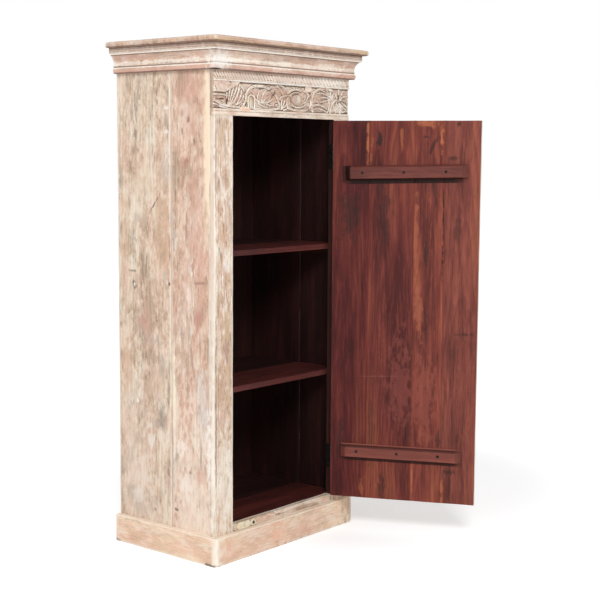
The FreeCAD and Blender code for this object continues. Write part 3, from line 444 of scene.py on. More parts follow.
class BoxEffect(Effect):
    """A box-shaped place on the object with soft edges, such as a shadow painted beside a batten.
    """

    name = "soft_box"
    inputs = {"Place": (VECTOR, None), "Centre": (VECTOR, None), "Reach": (VECTOR, None),
              "Ragged": (NUMBER, 0.0)}
    outputs = {"Mask": NUMBER}

    EDGE = (1.35, 0.7)

    @classmethod
    def build(cls, graph: Graph, source: bpy.types.NodeOutputs,
              target: bpy.types.NodeInputs) -> None:
        """Fade a mask where the place leaves the box on any side.

        Args:
            graph: The group's graph.
            source: The group's inputs, seen from inside.
            target: The group's outputs, seen from inside.
        """
        away = graph.vector("DIVIDE", graph.vector("SUBTRACT", source["Place"],
                                                   source["Centre"]), source["Reach"])
        split = graph.add("SeparateXYZ")
        graph.feed(split.inputs[0], graph.vector("ABSOLUTE", away, (0.0, 0.0, 0.0)))
        far = graph.math("MAXIMUM", graph.math("MAXIMUM", split.outputs[0], split.outputs[1]),
                         split.outputs[2])
        far = graph.math("ADD", far, source["Ragged"])
        graph.feed(target["Mask"], graph.remap(far, *cls.EDGE))


class LimewashEffect(Effect):
    """Old lime paint rubbed back to pale, blushed and greyed wood."""

    name = "limewash"
    inputs = {"Fibre": (NUMBER, 0.5), "Fleck": (NUMBER, 0.0), "Streak": (NUMBER, 0.5),
              "Broad": (NUMBER, 0.5), "Ring": (NUMBER, 0.5), "Patch": (NUMBER, 0.5),
              "Blot": (NUMBER, 0.5), "Arris": (NUMBER, 0.0), "Grime": (NUMBER, 0.0),
              "Cream": (COLOUR, WHITE_DEFAULT), "Blush": (COLOUR, WHITE_DEFAULT),
              "Tan": (COLOUR, WHITE_DEFAULT), "Grey": (COLOUR, WHITE_DEFAULT),
              "Bare": (COLOUR, WHITE_DEFAULT), "Lime": (COLOUR, WHITE_DEFAULT),
              "Blush Share": (NUMBER, 0.5), "Tan Share": (NUMBER, 0.4),
              "Grey Share": (NUMBER, 0.4), "Lime Share": (NUMBER, 0.5),
              "Bare Share": (NUMBER, 0.4), "Cloud Share": (NUMBER, 0.3)}
    outputs = {"Color": COLOUR, "Roughness": NUMBER}

    BLUSH_PATCH, BLUSH_BROAD = (0.42, 0.58), (0.54, 0.42)
    TAN_BLOT = (0.5, 0.64)
    GREY_STREAK, GREY_BROAD = (0.48, 0.62), (0.4, 0.58)
    CLOUDS = (0.49, 0.6)
    RING_PATCH = (0.6, 0.45, 0.0, 0.3)
    LIME_FIBRE, LIME_BLOT = 0.45, (0.76, 0.6)
    BARE_FIBRE, BARE_STREAK, BARE_BLOT = (0.51, 0.63), (0.36, 0.58), (0.4, 0.56, 0.25)
    LINE_POWER, LINE_PATCH = 4.0, (0.46, 0.58)
    FLECK_BLOT = (0.4, 0.6)
    WORN_ARRIS, WORN_BLOT, WORN_SHARE = (0.3, 1.0), (0.36, 0.56), 0.75
    CORNER_POWER, CORNER_BLOT, CORNER_SHARE = 3.5, (0.66, 0.34, 0.3), 0.8
    GLOSS = (0.3, 0.7, 0.7, 0.92)

    @classmethod
    def build(cls, graph: Graph, source: bpy.types.NodeOutputs,
              target: bpy.types.NodeInputs) -> None:
        """Lay the wood's colours down, then the lime in its fibres.

        Args:
            graph: The group's graph.
            source: The group's inputs, seen from inside.
            target: The group's outputs, seen from inside.
        """
        def part(mask: Socket, share: str) -> Socket:
            """Scale a mask by one of the group's shares."""
            return graph.math("MULTIPLY", mask, source[share], clamp=True)

        colour = graph.mix(part(graph.remap(source["Patch"], *cls.BLUSH_PATCH), "Blush Share"),
                           source["Cream"], source["Blush"])
        colour = graph.mix(part(graph.remap(source["Blot"], *cls.TAN_BLOT), "Tan Share"),
                           colour, source["Tan"])
        colour = graph.mix(part(graph.remap(source["Broad"], *cls.BLUSH_BROAD), "Blush Share"),
                           colour, source["Blush"])
        grey = graph.math("MULTIPLY", graph.remap(source["Streak"], *cls.GREY_STREAK),
                          graph.remap(source["Broad"], *cls.GREY_BROAD))
        colour = graph.mix(part(grey, "Grey Share"), colour, source["Grey"])
        cloud = graph.math("ADD", graph.math("MULTIPLY", source["Patch"], 0.5),
                           graph.math("MULTIPLY", source["Blot"], 0.5))
        cloud = graph.math("MULTIPLY", graph.remap(cloud, *cls.CLOUDS), source["Cloud Share"])
        colour = graph.mix(cloud, colour, source["Grey"])
        ring = graph.math("MULTIPLY", source["Ring"],
                          graph.remap(source["Patch"], *cls.RING_PATCH))
        colour = graph.mix(part(ring, "Grey Share"), colour, source["Grey"])
        lime = graph.math("MULTIPLY", source["Fibre"], cls.LIME_FIBRE)
        lime = graph.remap(graph.math("ADD", lime, source["Blot"]), *cls.LIME_BLOT)
        colour = graph.mix(part(lime, "Lime Share"), colour, source["Lime"])
        bare = graph.math("MULTIPLY", graph.remap(source["Fibre"], *cls.BARE_FIBRE),
                          graph.remap(source["Streak"], *cls.BARE_STREAK))
        bare = graph.math("MULTIPLY", bare, graph.remap(source["Blot"], *cls.BARE_BLOT))
        colour = graph.mix(part(bare, "Bare Share"), colour, source["Bare"])
        line = graph.math("MULTIPLY", graph.math("POWER", source["Ring"], cls.LINE_POWER),
                          graph.remap(source["Patch"], *cls.LINE_PATCH))
        colour = graph.mix(part(line, "Bare Share"), colour, source["Tan"])
        fleck = graph.math("MULTIPLY", source["Fleck"],
                           graph.remap(source["Blot"], *cls.FLECK_BLOT))
        colour = graph.mix(part(fleck, "Bare Share"), colour, source["Bare"])
        worn = graph.math("MULTIPLY", graph.remap(source["Arris"], *cls.WORN_ARRIS),
                          graph.remap(source["Blot"], *cls.WORN_BLOT), clamp=True)
        colour = graph.mix(graph.math("MULTIPLY", worn, cls.WORN_SHARE), colour, source["Lime"])
        # Bare wood shows in inner corners and against other boards: grime, with painted shade in
        # the inner corners.
        corner = graph.math("POWER", source["Grime"], cls.CORNER_POWER)
        corner = graph.math("MULTIPLY", corner, graph.remap(source["Blot"], *cls.CORNER_BLOT))
        colour = graph.mix(graph.math("MULTIPLY", corner, cls.CORNER_SHARE), colour,
                           source["Bare"])
        graph.feed(target["Color"], colour)
        graph.feed(target["Roughness"], graph.remap(source["Fibre"], *cls.GLOSS))


class StainEffect(Effect):
    """Red-brown stained wood whose rings, streaks and pale sapwood show through."""

    name = "red_brown_stain"
    inputs = {"Fibre": (NUMBER, 0.5), "Fleck": (NUMBER, 0.0), "Streak": (NUMBER, 0.5),
              "Broad": (NUMBER, 0.5), "Ring": (NUMBER, 0.5), "Patch": (NUMBER, 0.5),
              "Blot": (NUMBER, 0.5), "Arris": (NUMBER, 0.0),
              "Deep": (COLOUR, WHITE_DEFAULT), "Middle": (COLOUR, WHITE_DEFAULT),
              "Light": (COLOUR, WHITE_DEFAULT), "Ember": (COLOUR, WHITE_DEFAULT),
              "Soot": (COLOUR, WHITE_DEFAULT), "Ember Share": (NUMBER, 0.3),
              "Soot Share": (NUMBER, 0.4), "Ring Share": (NUMBER, 0.5)}
    outputs = {"Color": COLOUR, "Roughness": NUMBER}

    TONES = (0.43, 0.56)
    LIGHT_STREAK = (0.47, 0.66, 0.0, 0.5)
    EMBER_BROAD, EMBER_PATCH = (0.5, 0.62), (0.46, 0.6)
    SOOT_BLOT, SOOT_TONE = (0.5, 0.64), (0.56, 0.44)
    PORES, SHEEN = (0.5, 0.66, 0.0, 0.42), (0.48, 0.34, 0.0, 0.4)
    FLECK_SHARE, ARRIS_SHARE = 0.3, 0.12
    GLOSS = (0.3, 0.7, 0.4, 0.6)

    @classmethod
    def build(cls, graph: Graph, source: bpy.types.NodeOutputs,
              target: bpy.types.NodeInputs) -> None:
        """Lay the stain down from dark to light, then the rings and pores over it.

        Args:
            graph: The group's graph.
            source: The group's inputs, seen from inside.
            target: The group's outputs, seen from inside.
        """
        def part(mask: Socket, share: str) -> Socket:
            """Scale a mask by one of the group's shares."""
            return graph.math("MULTIPLY", mask, source[share], clamp=True)

        tone = graph.math("ADD", graph.math("MULTIPLY", source["Broad"], 0.5),
                          graph.math("MULTIPLY", source["Patch"], 0.5))
        colour = graph.mix(graph.remap(tone, *cls.TONES), source["Deep"], source["Middle"])
        colour = graph.mix(graph.remap(source["Streak"], *cls.LIGHT_STREAK), colour,
                           source["Light"])
        ember = graph.math("MULTIPLY", graph.remap(source["Broad"], *cls.EMBER_BROAD),
                           graph.remap(source["Patch"], *cls.EMBER_PATCH))
        colour = graph.mix(part(ember, "Ember Share"), colour, source["Ember"])
        soot = graph.math("MULTIPLY", graph.remap(source["Blot"], *cls.SOOT_BLOT),
                          graph.remap(tone, *cls.SOOT_TONE))
        colour = graph.mix(part(soot, "Soot Share"), colour, source["Soot"])
        colour = graph.mix(part(source["Ring"], "Ring Share"), colour, source["Deep"])
        colour = graph.mix(graph.remap(source["Fibre"], *cls.PORES), colour,
                           source["Soot"])
        colour = graph.mix(graph.remap(source["Fibre"], *cls.SHEEN), colour,
                           source["Light"])
        colour = graph.mix(graph.math("MULTIPLY", source["Fleck"], cls.FLECK_SHARE), colour,
                           source["Soot"])
        colour = graph.mix(graph.math("MULTIPLY", source["Arris"], cls.ARRIS_SHARE), colour,
                           source["Light"])
        graph.feed(target["Color"], colour)
        graph.feed(target["Roughness"], graph.remap(source["Fibre"], *cls.GLOSS))


@dataclass(frozen=True)
class Spot:
    """A knot, stain, streak, scratch, painted shadow or painted highlight at a given place of the
    closed cabinet.
    """

    centre: Colour
    reach: Colour
    colour: Colour
    strength: float = 0.8
    rings: float = 0.0
    ragged: float = 1.0
    lean: float = 0.0
    lean_axis: Colour = (1.0, 0.0, 0.0)
    shape: type[Effect] = SpotEffect


@dataclass(frozen=True)
class BoardFinish:
    """What every wooden finish has: grain, spots, relief and gloss."""

    name: str
    ring_pitch: float = 0.009
    draw: float = 1.0
    pith: float = 0.01
    slope: float = 0.03
    wander: float = 0.03
    bump: float = 0.6
    bump_reach: float = 0.0012
    specular: float = 0.25
    spots: tuple[Spot, ...] = ()

    EDGE_NOISE = (85.0, 85.0, 40.0)
    EDGE_REACH = 3.2
    EDGE_BAND = (0.12, 0.8)

    def colours(self, graph: Graph, grain: bpy.types.NodeOutputs) -> tuple[Socket, Socket]:
        """The finish's own colour and roughness.

        Args:
            graph: The material's graph.
            grain: Outputs of the grain group.

        Returns:
            The colour and the roughness.
        """
        raise NotImplementedError

    def eyes(self, graph: Graph, place: Socket) -> tuple[Value, list[tuple[Spot, Socket]]]:
        """Masks of the spots, and how far they bend the rings round them.

        Args:
            graph: The material's graph.
            place: Where on the closed cabinet a point is.

        Returns:
            What the spots add to the rings' phase, and each spot with its mask.
        """
        total: Value = 0.0
        masks = []
        if self.spots:
            rough = graph.noise(place, self.EDGE_NOISE, detail=3.0, roughness=0.6)
            rough = graph.math("MULTIPLY", graph.math("SUBTRACT", rough, 0.5),
                               self.EDGE_REACH)
        for spot in self.spots:
            seen = place
            if spot.lean:
                turn = graph.add("VectorRotate")
                graph.feed(turn.inputs["Vector"], place)
                turn.inputs["Center"].default_value = spot.centre
                turn.inputs["Axis"].default_value = spot.lean_axis
                turn.inputs["Angle"].default_value = math.radians(spot.lean)
                seen = turn.outputs[0]
            ragged = graph.math("MULTIPLY", rough, spot.ragged)
            mask = spot.shape.place(graph, Place=seen, Centre=spot.centre, Reach=spot.reach,
                                    Ragged=ragged)["Mask"]
            masks.append((spot, mask))
            if spot.rings:
                total = graph.math("ADD", total, graph.math("MULTIPLY", mask, spot.rings))
        return total, masks

    def material(self) -> bpy.types.Material:
        """Build the material.

        Returns:
            The finished material.
        """
        made = bpy.data.materials.new(self.name)
        made.use_nodes = True
        graph = Graph(made.node_tree)
        shader = made.node_tree.nodes["Principled BSDF"]
        place = graph.attribute("place")
        total, masks = self.eyes(graph, place)
        grain = GrainEffect.place(graph, Vector=graph.attribute("grain"),
                                  Seed=graph.attribute("seed", "Fac"), Eyes=total,
                                  Ring_Pitch=self.ring_pitch, Wander=self.wander,
                                  Pith=self.pith, Slope=self.slope, Draw=self.draw)
        colour, roughness = self.colours(graph, grain)
        for spot, mask in masks:
            share = graph.math("MULTIPLY", graph.remap(mask, *self.EDGE_BAND), spot.strength)
            colour = graph.mix(share, colour, spot.colour)
        graph.feed(shader.inputs["Base Color"], colour)
        graph.feed(shader.inputs["Roughness"], roughness)
        shader.inputs["Specular IOR Level"].default_value = self.specular
        bump = graph.add("Bump")
        bump.inputs["Strength"].default_value = self.bump
        bump.inputs["Distance"].default_value = self.bump_reach
        graph.feed(bump.inputs["Height"], grain["Height"])
        graph.feed(shader.inputs["Normal"], bump.outputs[0])
        return made


def grain_values(grain: bpy.types.NodeOutputs) -> dict[str, Socket]:
    """The grain group's outputs that a colour group takes, by name."""
    return {name: grain[name]
            for name in ("Fibre", "Fleck", "Streak", "Broad", "Ring", "Patch", "Blot")}


@dataclass(frozen=True)
class Limewash(BoardFinish):
    """Lime paint over old wood, rubbed thin."""

    cream: Colour = (0.78, 0.64, 0.50)
    blush: Colour = (0.64, 0.38, 0.28)
    tan: Colour = (0.62, 0.44, 0.28)
    grey: Colour = (0.36, 0.28, 0.22)
    bare: Colour = (0.20, 0.12, 0.08)
    lime: Colour = (0.88, 0.82, 0.72)
    blush_share: float = 0.6
    tan_share: float = 0.4
    grey_share: float = 0.55
    lime_share: float = 0.55
    bare_share: float = 0.5
    cloud_share: float = 0.3

    def colours(self, graph: Graph, grain: bpy.types.NodeOutputs) -> tuple[Socket, Socket]:
        """The finish's own colour and roughness.

        Args:
            graph: The material's graph.
            grain: Outputs of the grain group.

        Returns:
            The colour and the roughness.
        """
        made = LimewashEffect.place(
            graph, **grain_values(grain), Arris=graph.attribute("arris", "Fac"),
            Grime=graph.attribute("grime", "Fac"), Cream=self.cream, Blush=self.blush,
            Tan=self.tan, Grey=self.grey, Bare=self.bare, Lime=self.lime,
            Blush_Share=self.blush_share, Tan_Share=self.tan_share,
            Grey_Share=self.grey_share, Lime_Share=self.lime_share,
            Bare_Share=self.bare_share, Cloud_Share=self.cloud_share)
        return made["Color"], made["Roughness"]


@dataclass(frozen=True)
class CarvedLimewash(Limewash):
    """Limewash on carving: darker in the ground and the crevices, with dirt and painted shade, and
    paler on what stands proud, with wear and painted highlight.
    """

    hollow: Colour = (0.45, 0.31, 0.24)
    crevice: Colour = (0.11, 0.066, 0.044)

    SUNK, PROUD = (0.6, 0.1, 0.0, 0.35), (0.6, 0.95, 0.0, 0.15)
    CREVICES, CRESTS = (0.18, 0.9, 0.0, 0.9), (0.15, 0.9, 0.0, 0.55)
    RUBBED = (0.6, 0.42, 0.3)

    def colours(self, graph: Graph, grain: bpy.types.NodeOutputs) -> tuple[Socket, Socket]:
        """The limewash, darkened and lightened by how deep and how hollow the carving is: dirt and
        painted shade below, wear and painted highlight on top.

        Args:
            graph: The material's graph.
            grain: Outputs of the grain group.

        Returns:
            The colour and the roughness.
        """
        colour, roughness = super().colours(graph, grain)
        relief = graph.attribute("relief", "Fac")
        colour = graph.mix(graph.remap(relief, *self.SUNK), colour, self.hollow)
        colour = graph.mix(graph.remap(relief, *self.PROUD), colour, self.lime)
        # Painted shade in the crevices, and wear with painted highlight on the crests.
        cavity = graph.attribute("cavity", "Fac")
        colour = graph.mix(graph.remap(cavity, *self.CREVICES), colour, self.crevice)
        crest = graph.attribute("crest", "Fac")
        rubbed = graph.math("MULTIPLY", graph.remap(crest, *self.CRESTS),
                            graph.remap(grain["Blot"], *self.RUBBED))
        colour = graph.mix(rubbed, colour, self.lime)
        return colour, roughness


@dataclass(frozen=True)
class Stain(BoardFinish):
    """Dark red-brown stain, oiled to a low sheen."""

    draw: float = 0.45
    deep: Colour = (0.075, 0.020, 0.017)
    middle: Colour = (0.150, 0.038, 0.030)
    light: Colour = (0.250, 0.070, 0.048)
    ember: Colour = (0.400, 0.130, 0.055)
    soot: Colour = (0.035, 0.016, 0.014)
    ember_share: float = 0.5
    soot_share: float = 0.5
    ring_share: float = 0.4

    def colours(self, graph: Graph, grain: bpy.types.NodeOutputs) -> tuple[Socket, Socket]:
        """The finish's own colour and roughness.

        Args:
            graph: The material's graph.
            grain: Outputs of the grain group.

        Returns:
            The colour and the roughness.
        """
        made = StainEffect.place(
            graph, **grain_values(grain), Arris=graph.attribute("arris", "Fac"),
            Deep=self.deep, Middle=self.middle, Light=self.light, Ember=self.ember,
            Soot=self.soot, Ember_Share=self.ember_share, Soot_Share=self.soot_share,
            Ring_Share=self.ring_share)
        return made["Color"], made["Roughness"]


@dataclass(frozen=True)
class Metal:
    """Old metal with dull patches and small pits."""

    name: str
    colour: Colour
    dull: Colour
    roughness: float = 0.5
    metallic: float = 0.8
    patch_scale: float = 120.0
    bump: float = 0.3

    PITS_PER_PATCH = 7
    PIT_DEPTH = 0.3 * MM
    DULL_BAND, GLOSS_BAND = (0.42, 0.6), (0.35, 0.65)
    SHINIER, DULLER = -0.12, 0.2

    def material(self) -> bpy.types.Material:
        """Build the material.

        Returns:
            The finished material.
        """
        made = bpy.data.materials.new(self.name)
        made.use_nodes = True
        graph = Graph(made.node_tree)
        shader = made.node_tree.nodes["Principled BSDF"]
        place = graph.add("TexCoord").outputs["Object"]
        scale = self.patch_scale
        patch = graph.noise(place, (scale, scale, scale), detail=5.0, roughness=0.6)
        fine = scale * self.PITS_PER_PATCH
        pits = graph.noise(place, (fine, fine, fine), detail=2.0, shift=4.0)
        colour = graph.mix(graph.remap(patch, *self.DULL_BAND), self.colour, self.dull)
        graph.feed(shader.inputs["Base Color"], colour)
        shader.inputs["Metallic"].default_value = self.metallic
        graph.feed(shader.inputs["Roughness"],
                   graph.remap(patch, *self.GLOSS_BAND, self.roughness + self.SHINIER,
                               self.roughness + self.DULLER))
        bump = graph.add("Bump")
        bump.inputs["Strength"].default_value = self.bump
        bump.inputs["Distance"].default_value = self.PIT_DEPTH
        graph.feed(bump.inputs["Height"], graph.math("ADD", patch, pits))
        graph.feed(shader.inputs["Normal"], bump.outputs[0])
        return made


@dataclass(frozen=True)
class Weathering:
    """How a board's arrises and faces have worn, and how finely it is cut up for that."""

    bevel: float = 0.7 * MM
    arris_reach: float = 7.0 * MM
    corner_reach: float = 6.0 * MM
    arris_depth: float = 1.1 * MM
    face_depth: float = 0.25 * MM
    cell_along: float = 22.0 * MM
    cell_across: float = 14.0 * MM


class Neighbours:
    """Finds where a board lies against others of its body."""

    CLOSE = 0.42 * MM
    NEAR = 2.0 * MM
    _trees: dict[str, tuple[str, BVHTree]] = {}

    @classmethod
    def trees(cls) -> dict[str, tuple[str, BVHTree]]:
        """A search tree for each CAD node, with its body."""
        if not cls._trees:
            for name, thing in frame["nodes"].items():
                mesh = thing.data
                verts = [vertex.co.copy() for vertex in mesh.vertices]
                faces = [tuple(polygon.vertices) for polygon in mesh.polygons]
                cls._trees[name] = (body_of(name), BVHTree.FromPolygons(verts, faces))
        return cls._trees

    def __init__(self, node: str) -> None:
        """Gather the trees of the other nodes that are near.

        Args:
            node: Name of the board's node.
        """
        low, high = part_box(node)
        self.near = []
        own_body = body_of(node)
        for name, (body, tree) in self.trees().items():
            other_low, other_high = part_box(name)
            apart = any(low[i] > other_high[i] + self.NEAR or high[i] < other_low[i] - self.NEAR
                        for i in range(3))
            if name != node and body == own_body and not apart:
                self.near.append(tree)

    def gap(self, point: Vector) -> float:
        """Distance from a point to the nearest other board of the body, or a little more."""
        found = [tree.find_nearest(point, self.NEAR)[3] for tree in self.near]
        return min((reach for reach in found if reach is not None), default=self.NEAR)


def body_of(node: str) -> str:
    """The body that carries a CAD node."""
    if node.startswith("turn_button"):
        return Body.BUTTON.value
    moves = node.startswith(("door_", "batten_")) or "_door_" in node
    return Body.DOOR.value if moves else Body.CARCASS.value


class Dressing:
    """Turns a copy of a CAD node into a worn board with the coordinates it needs."""

    SHARP = math.radians(28.0)
    FLAT = math.radians(0.6)
    CHIP_PER_METRE = 14.0
    NICK_PER_METRE = 34.0
    SEED_STEP = 3.7
    SWELL_PER_METRE = 5.0
    CLOSING = 0.16 * MM
    OPEN_SHARE = 0.35
    MERGE = 1e-6
    TINY = 1e-12
    SEED_CYCLE = 97
    LEAST_BITE, MEAN_BITE, NICK_BITE = 0.1, 0.45, 0.4

    def __init__(self, node: str, grain: Grain, body: Body, weather: Weathering) -> None:
        """Take a copy of the node's mesh.

        Args:
            node: Name of the CAD node.
            grain: Which way its grain runs.
            body: The body that it rides on.
            weather: How it has worn.
        """
        self.node = node
        self.grain = grain
        self.body = body
        self.weather = weather
        self.seed = sum(ord(letter) * (place + 1) for place, letter in enumerate(node))
        self.seed %= self.SEED_CYCLE
        self.mesh = bmesh.new()
        self.mesh.from_mesh(frame["nodes"][node].data)
        bmesh.ops.remove_doubles(self.mesh, verts=self.mesh.verts, dist=self.MERGE)
        bmesh.ops.dissolve_limit(self.mesh, angle_limit=self.FLAT, verts=self.mesh.verts,
                                 edges=self.mesh.edges)

    def sharp_edges(self) -> list[bmesh.types.BMEdge]:
        """Edges where two faces meet at a clear angle."""
        return [edge for edge in self.mesh.edges
                if len(edge.link_faces) == 2 and edge.calc_face_angle(0.0) > self.SHARP]

    def axis(self, index: int) -> Vector:
        """An axis of the closed cabinet, turned to where the piece is."""
        direction = Vector((0.0, 0.0, 0.0))
        direction[index] = 1.0
        return CLOSED_TO_ROW.to_3x3() @ direction if self.body is Body.DOOR else direction

    def cut_up(self, index: int, cell: float) -> None:
        """Cut the board into slices square to an axis.

        Args:
            index: The axis, 0 to 2.
            cell: Thickness of a slice.
        """
        direction = self.axis(index)
        spans = [vertex.co.dot(direction) for vertex in self.mesh.verts]
        low, high = min(spans), max(spans)
        count = int((high - low) / cell)
        for number in range(1, count):
            at = direction * (low + (high - low) * number / count)
            geometry = self.mesh.verts[:] + self.mesh.edges[:] + self.mesh.faces[:]
            bmesh.ops.bisect_plane(self.mesh, geom=geometry, dist=self.MERGE, plane_co=at,
                                   plane_no=direction)

    def nearness(self, lines: np.ndarray, reach: float) -> np.ndarray:
        """How near a set of lines each vertex is.

        Args:
            lines: Ends of the lines, as an array of pairs of points.
            reach: Where the nearness fades out.

        Returns:
            1 on a line and less further off.
        """
        points = np.array([vertex.co for vertex in self.mesh.verts])
        nearness = np.zeros(len(points))
        for first, last in lines:
            span = last - first
            share = np.clip((points - first) @ span / max(span @ span, self.TINY), 0.0, 1.0)
            gap = np.linalg.norm(points - first - share[:, None] * span, axis=1)
            nearness = np.maximum(nearness, 1.0 - gap / reach)
        return nearness

    def wear(self, nearness: np.ndarray) -> list[float]:
        """Push the arrises in by uneven amounts, and close the joints with other boards.

        Args:
            nearness: How near an arris each vertex is.

        Returns:
            How near another board each vertex is, 1 against it.
        """
        weather = self.weather
        self.mesh.normal_update()
        grime = []
        shift = Vector((self.seed * self.SEED_STEP, 0.0, self.seed))
        neighbours = Neighbours(self.node)
        for vertex, near in zip(self.mesh.verts, nearness):
            gap = neighbours.gap(vertex.co)
            grime.append(1.0 - max(gap - neighbours.CLOSE, 0.0) / neighbours.NEAR)
            if gap < neighbours.CLOSE:
                vertex.co += vertex.normal * self.CLOSING
                grime[-1] = 1.0
                continue
            grime[-1] = max(0.0, grime[-1] - self.OPEN_SHARE) / (1.0 - self.OPEN_SHARE)
            place = vertex.co + shift
            chip = noise.noise(place * self.CHIP_PER_METRE)
            nick = noise.noise(place * self.NICK_PER_METRE)
            swell = 0.5 + 0.5 * noise.noise(place * self.SWELL_PER_METRE)
            depth = weather.face_depth * swell
            bite = max(self.LEAST_BITE, self.MEAN_BITE + chip + self.NICK_BITE * nick)
            depth += weather.arris_depth * near * near * bite
            vertex.co -= vertex.normal * depth
        return grime

    def carry(self, mesh: bpy.types.Mesh, arris: Sequence[float],
              grime: Sequence[float]) -> None:
        """Store what the materials read at each vertex.

        Args:
            mesh: The finished mesh.
            arris: How near an arris each vertex is.
            grime: How near an inner corner or another board each vertex is.
        """
        order = self.grain.value
        closed = np.array([to_closed(vertex.co, self.body) for vertex in mesh.vertices])
        grain = closed[:, order]
        grain[:, 0] -= (grain[:, 0].min() + grain[:, 0].max()) / 2
        grain[:, 1] -= grain[:, 1].min()
        carry_values(mesh, grain, closed, self.seed, arris=arris, grime=grime)

    def build(self) -> bpy.types.Mesh:
        """Bevel, cut up and wear the copy.

        Returns:
            The finished mesh, without materials.
        """
        sharp = self.sharp_edges()
        outer = np.array([[edge.verts[0].co[:], edge.verts[1].co[:]] for edge in sharp
                          if edge.is_convex])
        inner = np.array([[edge.verts[0].co[:], edge.verts[1].co[:]] for edge in sharp
                          if not edge.is_convex])
        if self.weather.bevel:
            bmesh.ops.bevel(self.mesh, geom=sharp, offset=self.weather.bevel, segments=1,
                            profile=0.5, affect="EDGES", clamp_overlap=True)
        self.cut_up(self.grain.value[2], self.weather.cell_along)
        for index in self.grain.value[:2]:
            self.cut_up(index, self.weather.cell_across)
        arris = self.nearness(outer, self.weather.arris_reach)
        # Nearness to inner corners and to other boards, where the limewash darkens with grime and
        # painted shade.
        corners = self.nearness(inner, self.weather.corner_reach)
        grime = np.maximum(self.wear(arris), corners)
        for edge in self.mesh.edges:
            edge.smooth = edge.calc_face_angle(0.0) < self.SHARP
        for face in self.mesh.faces:
            face.smooth = True
        mesh = bpy.data.meshes.new(self.node)
        self.mesh.to_mesh(mesh)
        self.mesh.free()
        self.carry(mesh, arris, grime)
        return mesh


SEED_SPREAD = 1.7


def carry_values(mesh: bpy.types.Mesh, grain: np.ndarray, place: np.ndarray, seed: float,
                 **numbers: Sequence[float]) -> None:
    """Store the values that every wooden finish reads.

    Args:
        mesh: The finished mesh.
        grain: Coordinates across, through and along the grain.
        place: Where each vertex is with the door closed.
        seed: The board's own number.
        **numbers: Further values by name, one for each vertex.
    """
    for name, values in (("grain", grain), ("place", place)):
        layer = mesh.attributes.new(name, "FLOAT_VECTOR", "POINT")
        layer.data.foreach_set("vector", np.ascontiguousarray(values, dtype=np.float32).ravel())
    numbers["seed"] = np.full(len(mesh.vertices), seed * SEED_SPREAD)
    for name, values in numbers.items():
        mesh.attributes.new(name, "FLOAT", "POINT").data.foreach_set(
            "value", np.asarray(values, dtype=np.float32))


@dataclass
class Board:
    """A wooden piece in its worn form, which stands for its CAD node."""

    node: str
    grain: Grain
    outside: bpy.types.Material
    others: tuple[tuple[FaceTest, bpy.types.Material], ...] = ()
    body: Body = Body.CARCASS
    slot: str = "limewashed_wood"
    weather: Weathering = field(default_factory=Weathering)

    def build(self) -> bpy.types.Object:
        """Build the board and hide its node.

        Returns:
            The new piece.
        """
        mesh = Dressing(self.node, self.grain, self.body, self.weather).build()
        mesh.materials.append(self.outside)
        for _, material in self.others:
            mesh.materials.append(material)
        for polygon in mesh.polygons if self.others else ():
            centre = to_closed(polygon.center, self.body)
            normal = turn_to_closed(polygon.normal, self.body)
            for index, (test, _) in enumerate(self.others, start=1):
                if test(centre, normal):
                    polygon.material_index = index
                    break
        piece = finish_object(mesh, self.node + "_worn", self.body)
        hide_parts(self.node)
        LOG.info("board %s: %d faces", self.node, len(mesh.polygons))
        return piece


@dataclass
class Room:
    """The space inside the cabinet, which tells dark faces from limewashed ones."""

    half_width: float = 0.2890
    front: float = 0.0165
    back: float = 0.386
    head: float = 1.4845
    jamb_front: float = 0.0015
    jamb_half: float = 0.2305
    step: float = 2.0 * MM

    def holds(self, centre: Vector, normal: Vector) -> bool:
        """Whether a face looks into the room.

        Args:
            centre: Middle of the face.
            normal: Where the face looks.

        Returns:
            True for a face of the room.
        """
        point = centre + normal * self.step
        return (abs(point.x) < self.half_width and self.front < point.y < self.back
                and point.z < self.head)

    def is_jamb(self, centre: Vector, normal: Vector) -> bool:
        """Whether a face lines the doorway.

        Args:
            centre: Middle of the face.
            normal: Where the face looks.

        Returns:
            True for a face of the doorway's sides or head.
        """
        point = centre + normal * self.step
        return abs(point.x) < self.jamb_half and point.y > self.jamb_front


FACING = 0.5
SQUARE = 0.7
FREE_EDGE = -0.22


def rear_face(centre: Vector, normal: Vector) -> bool:
    """Whether a face looks to the back."""
    return normal.y > FACING


def stained_door_face(centre: Vector, normal: Vector) -> bool:
    """Whether a face of the door is stained: its inner face and its hinge edge."""
    return normal.y > FACING or normal.x > SQUARE


def plank_joint(centre: Vector, normal: Vector) -> bool:
    """Whether a face of the door lies in a joint, away from the free edge."""
    return abs(normal.x) > SQUARE and centre.x > FREE_EDGE


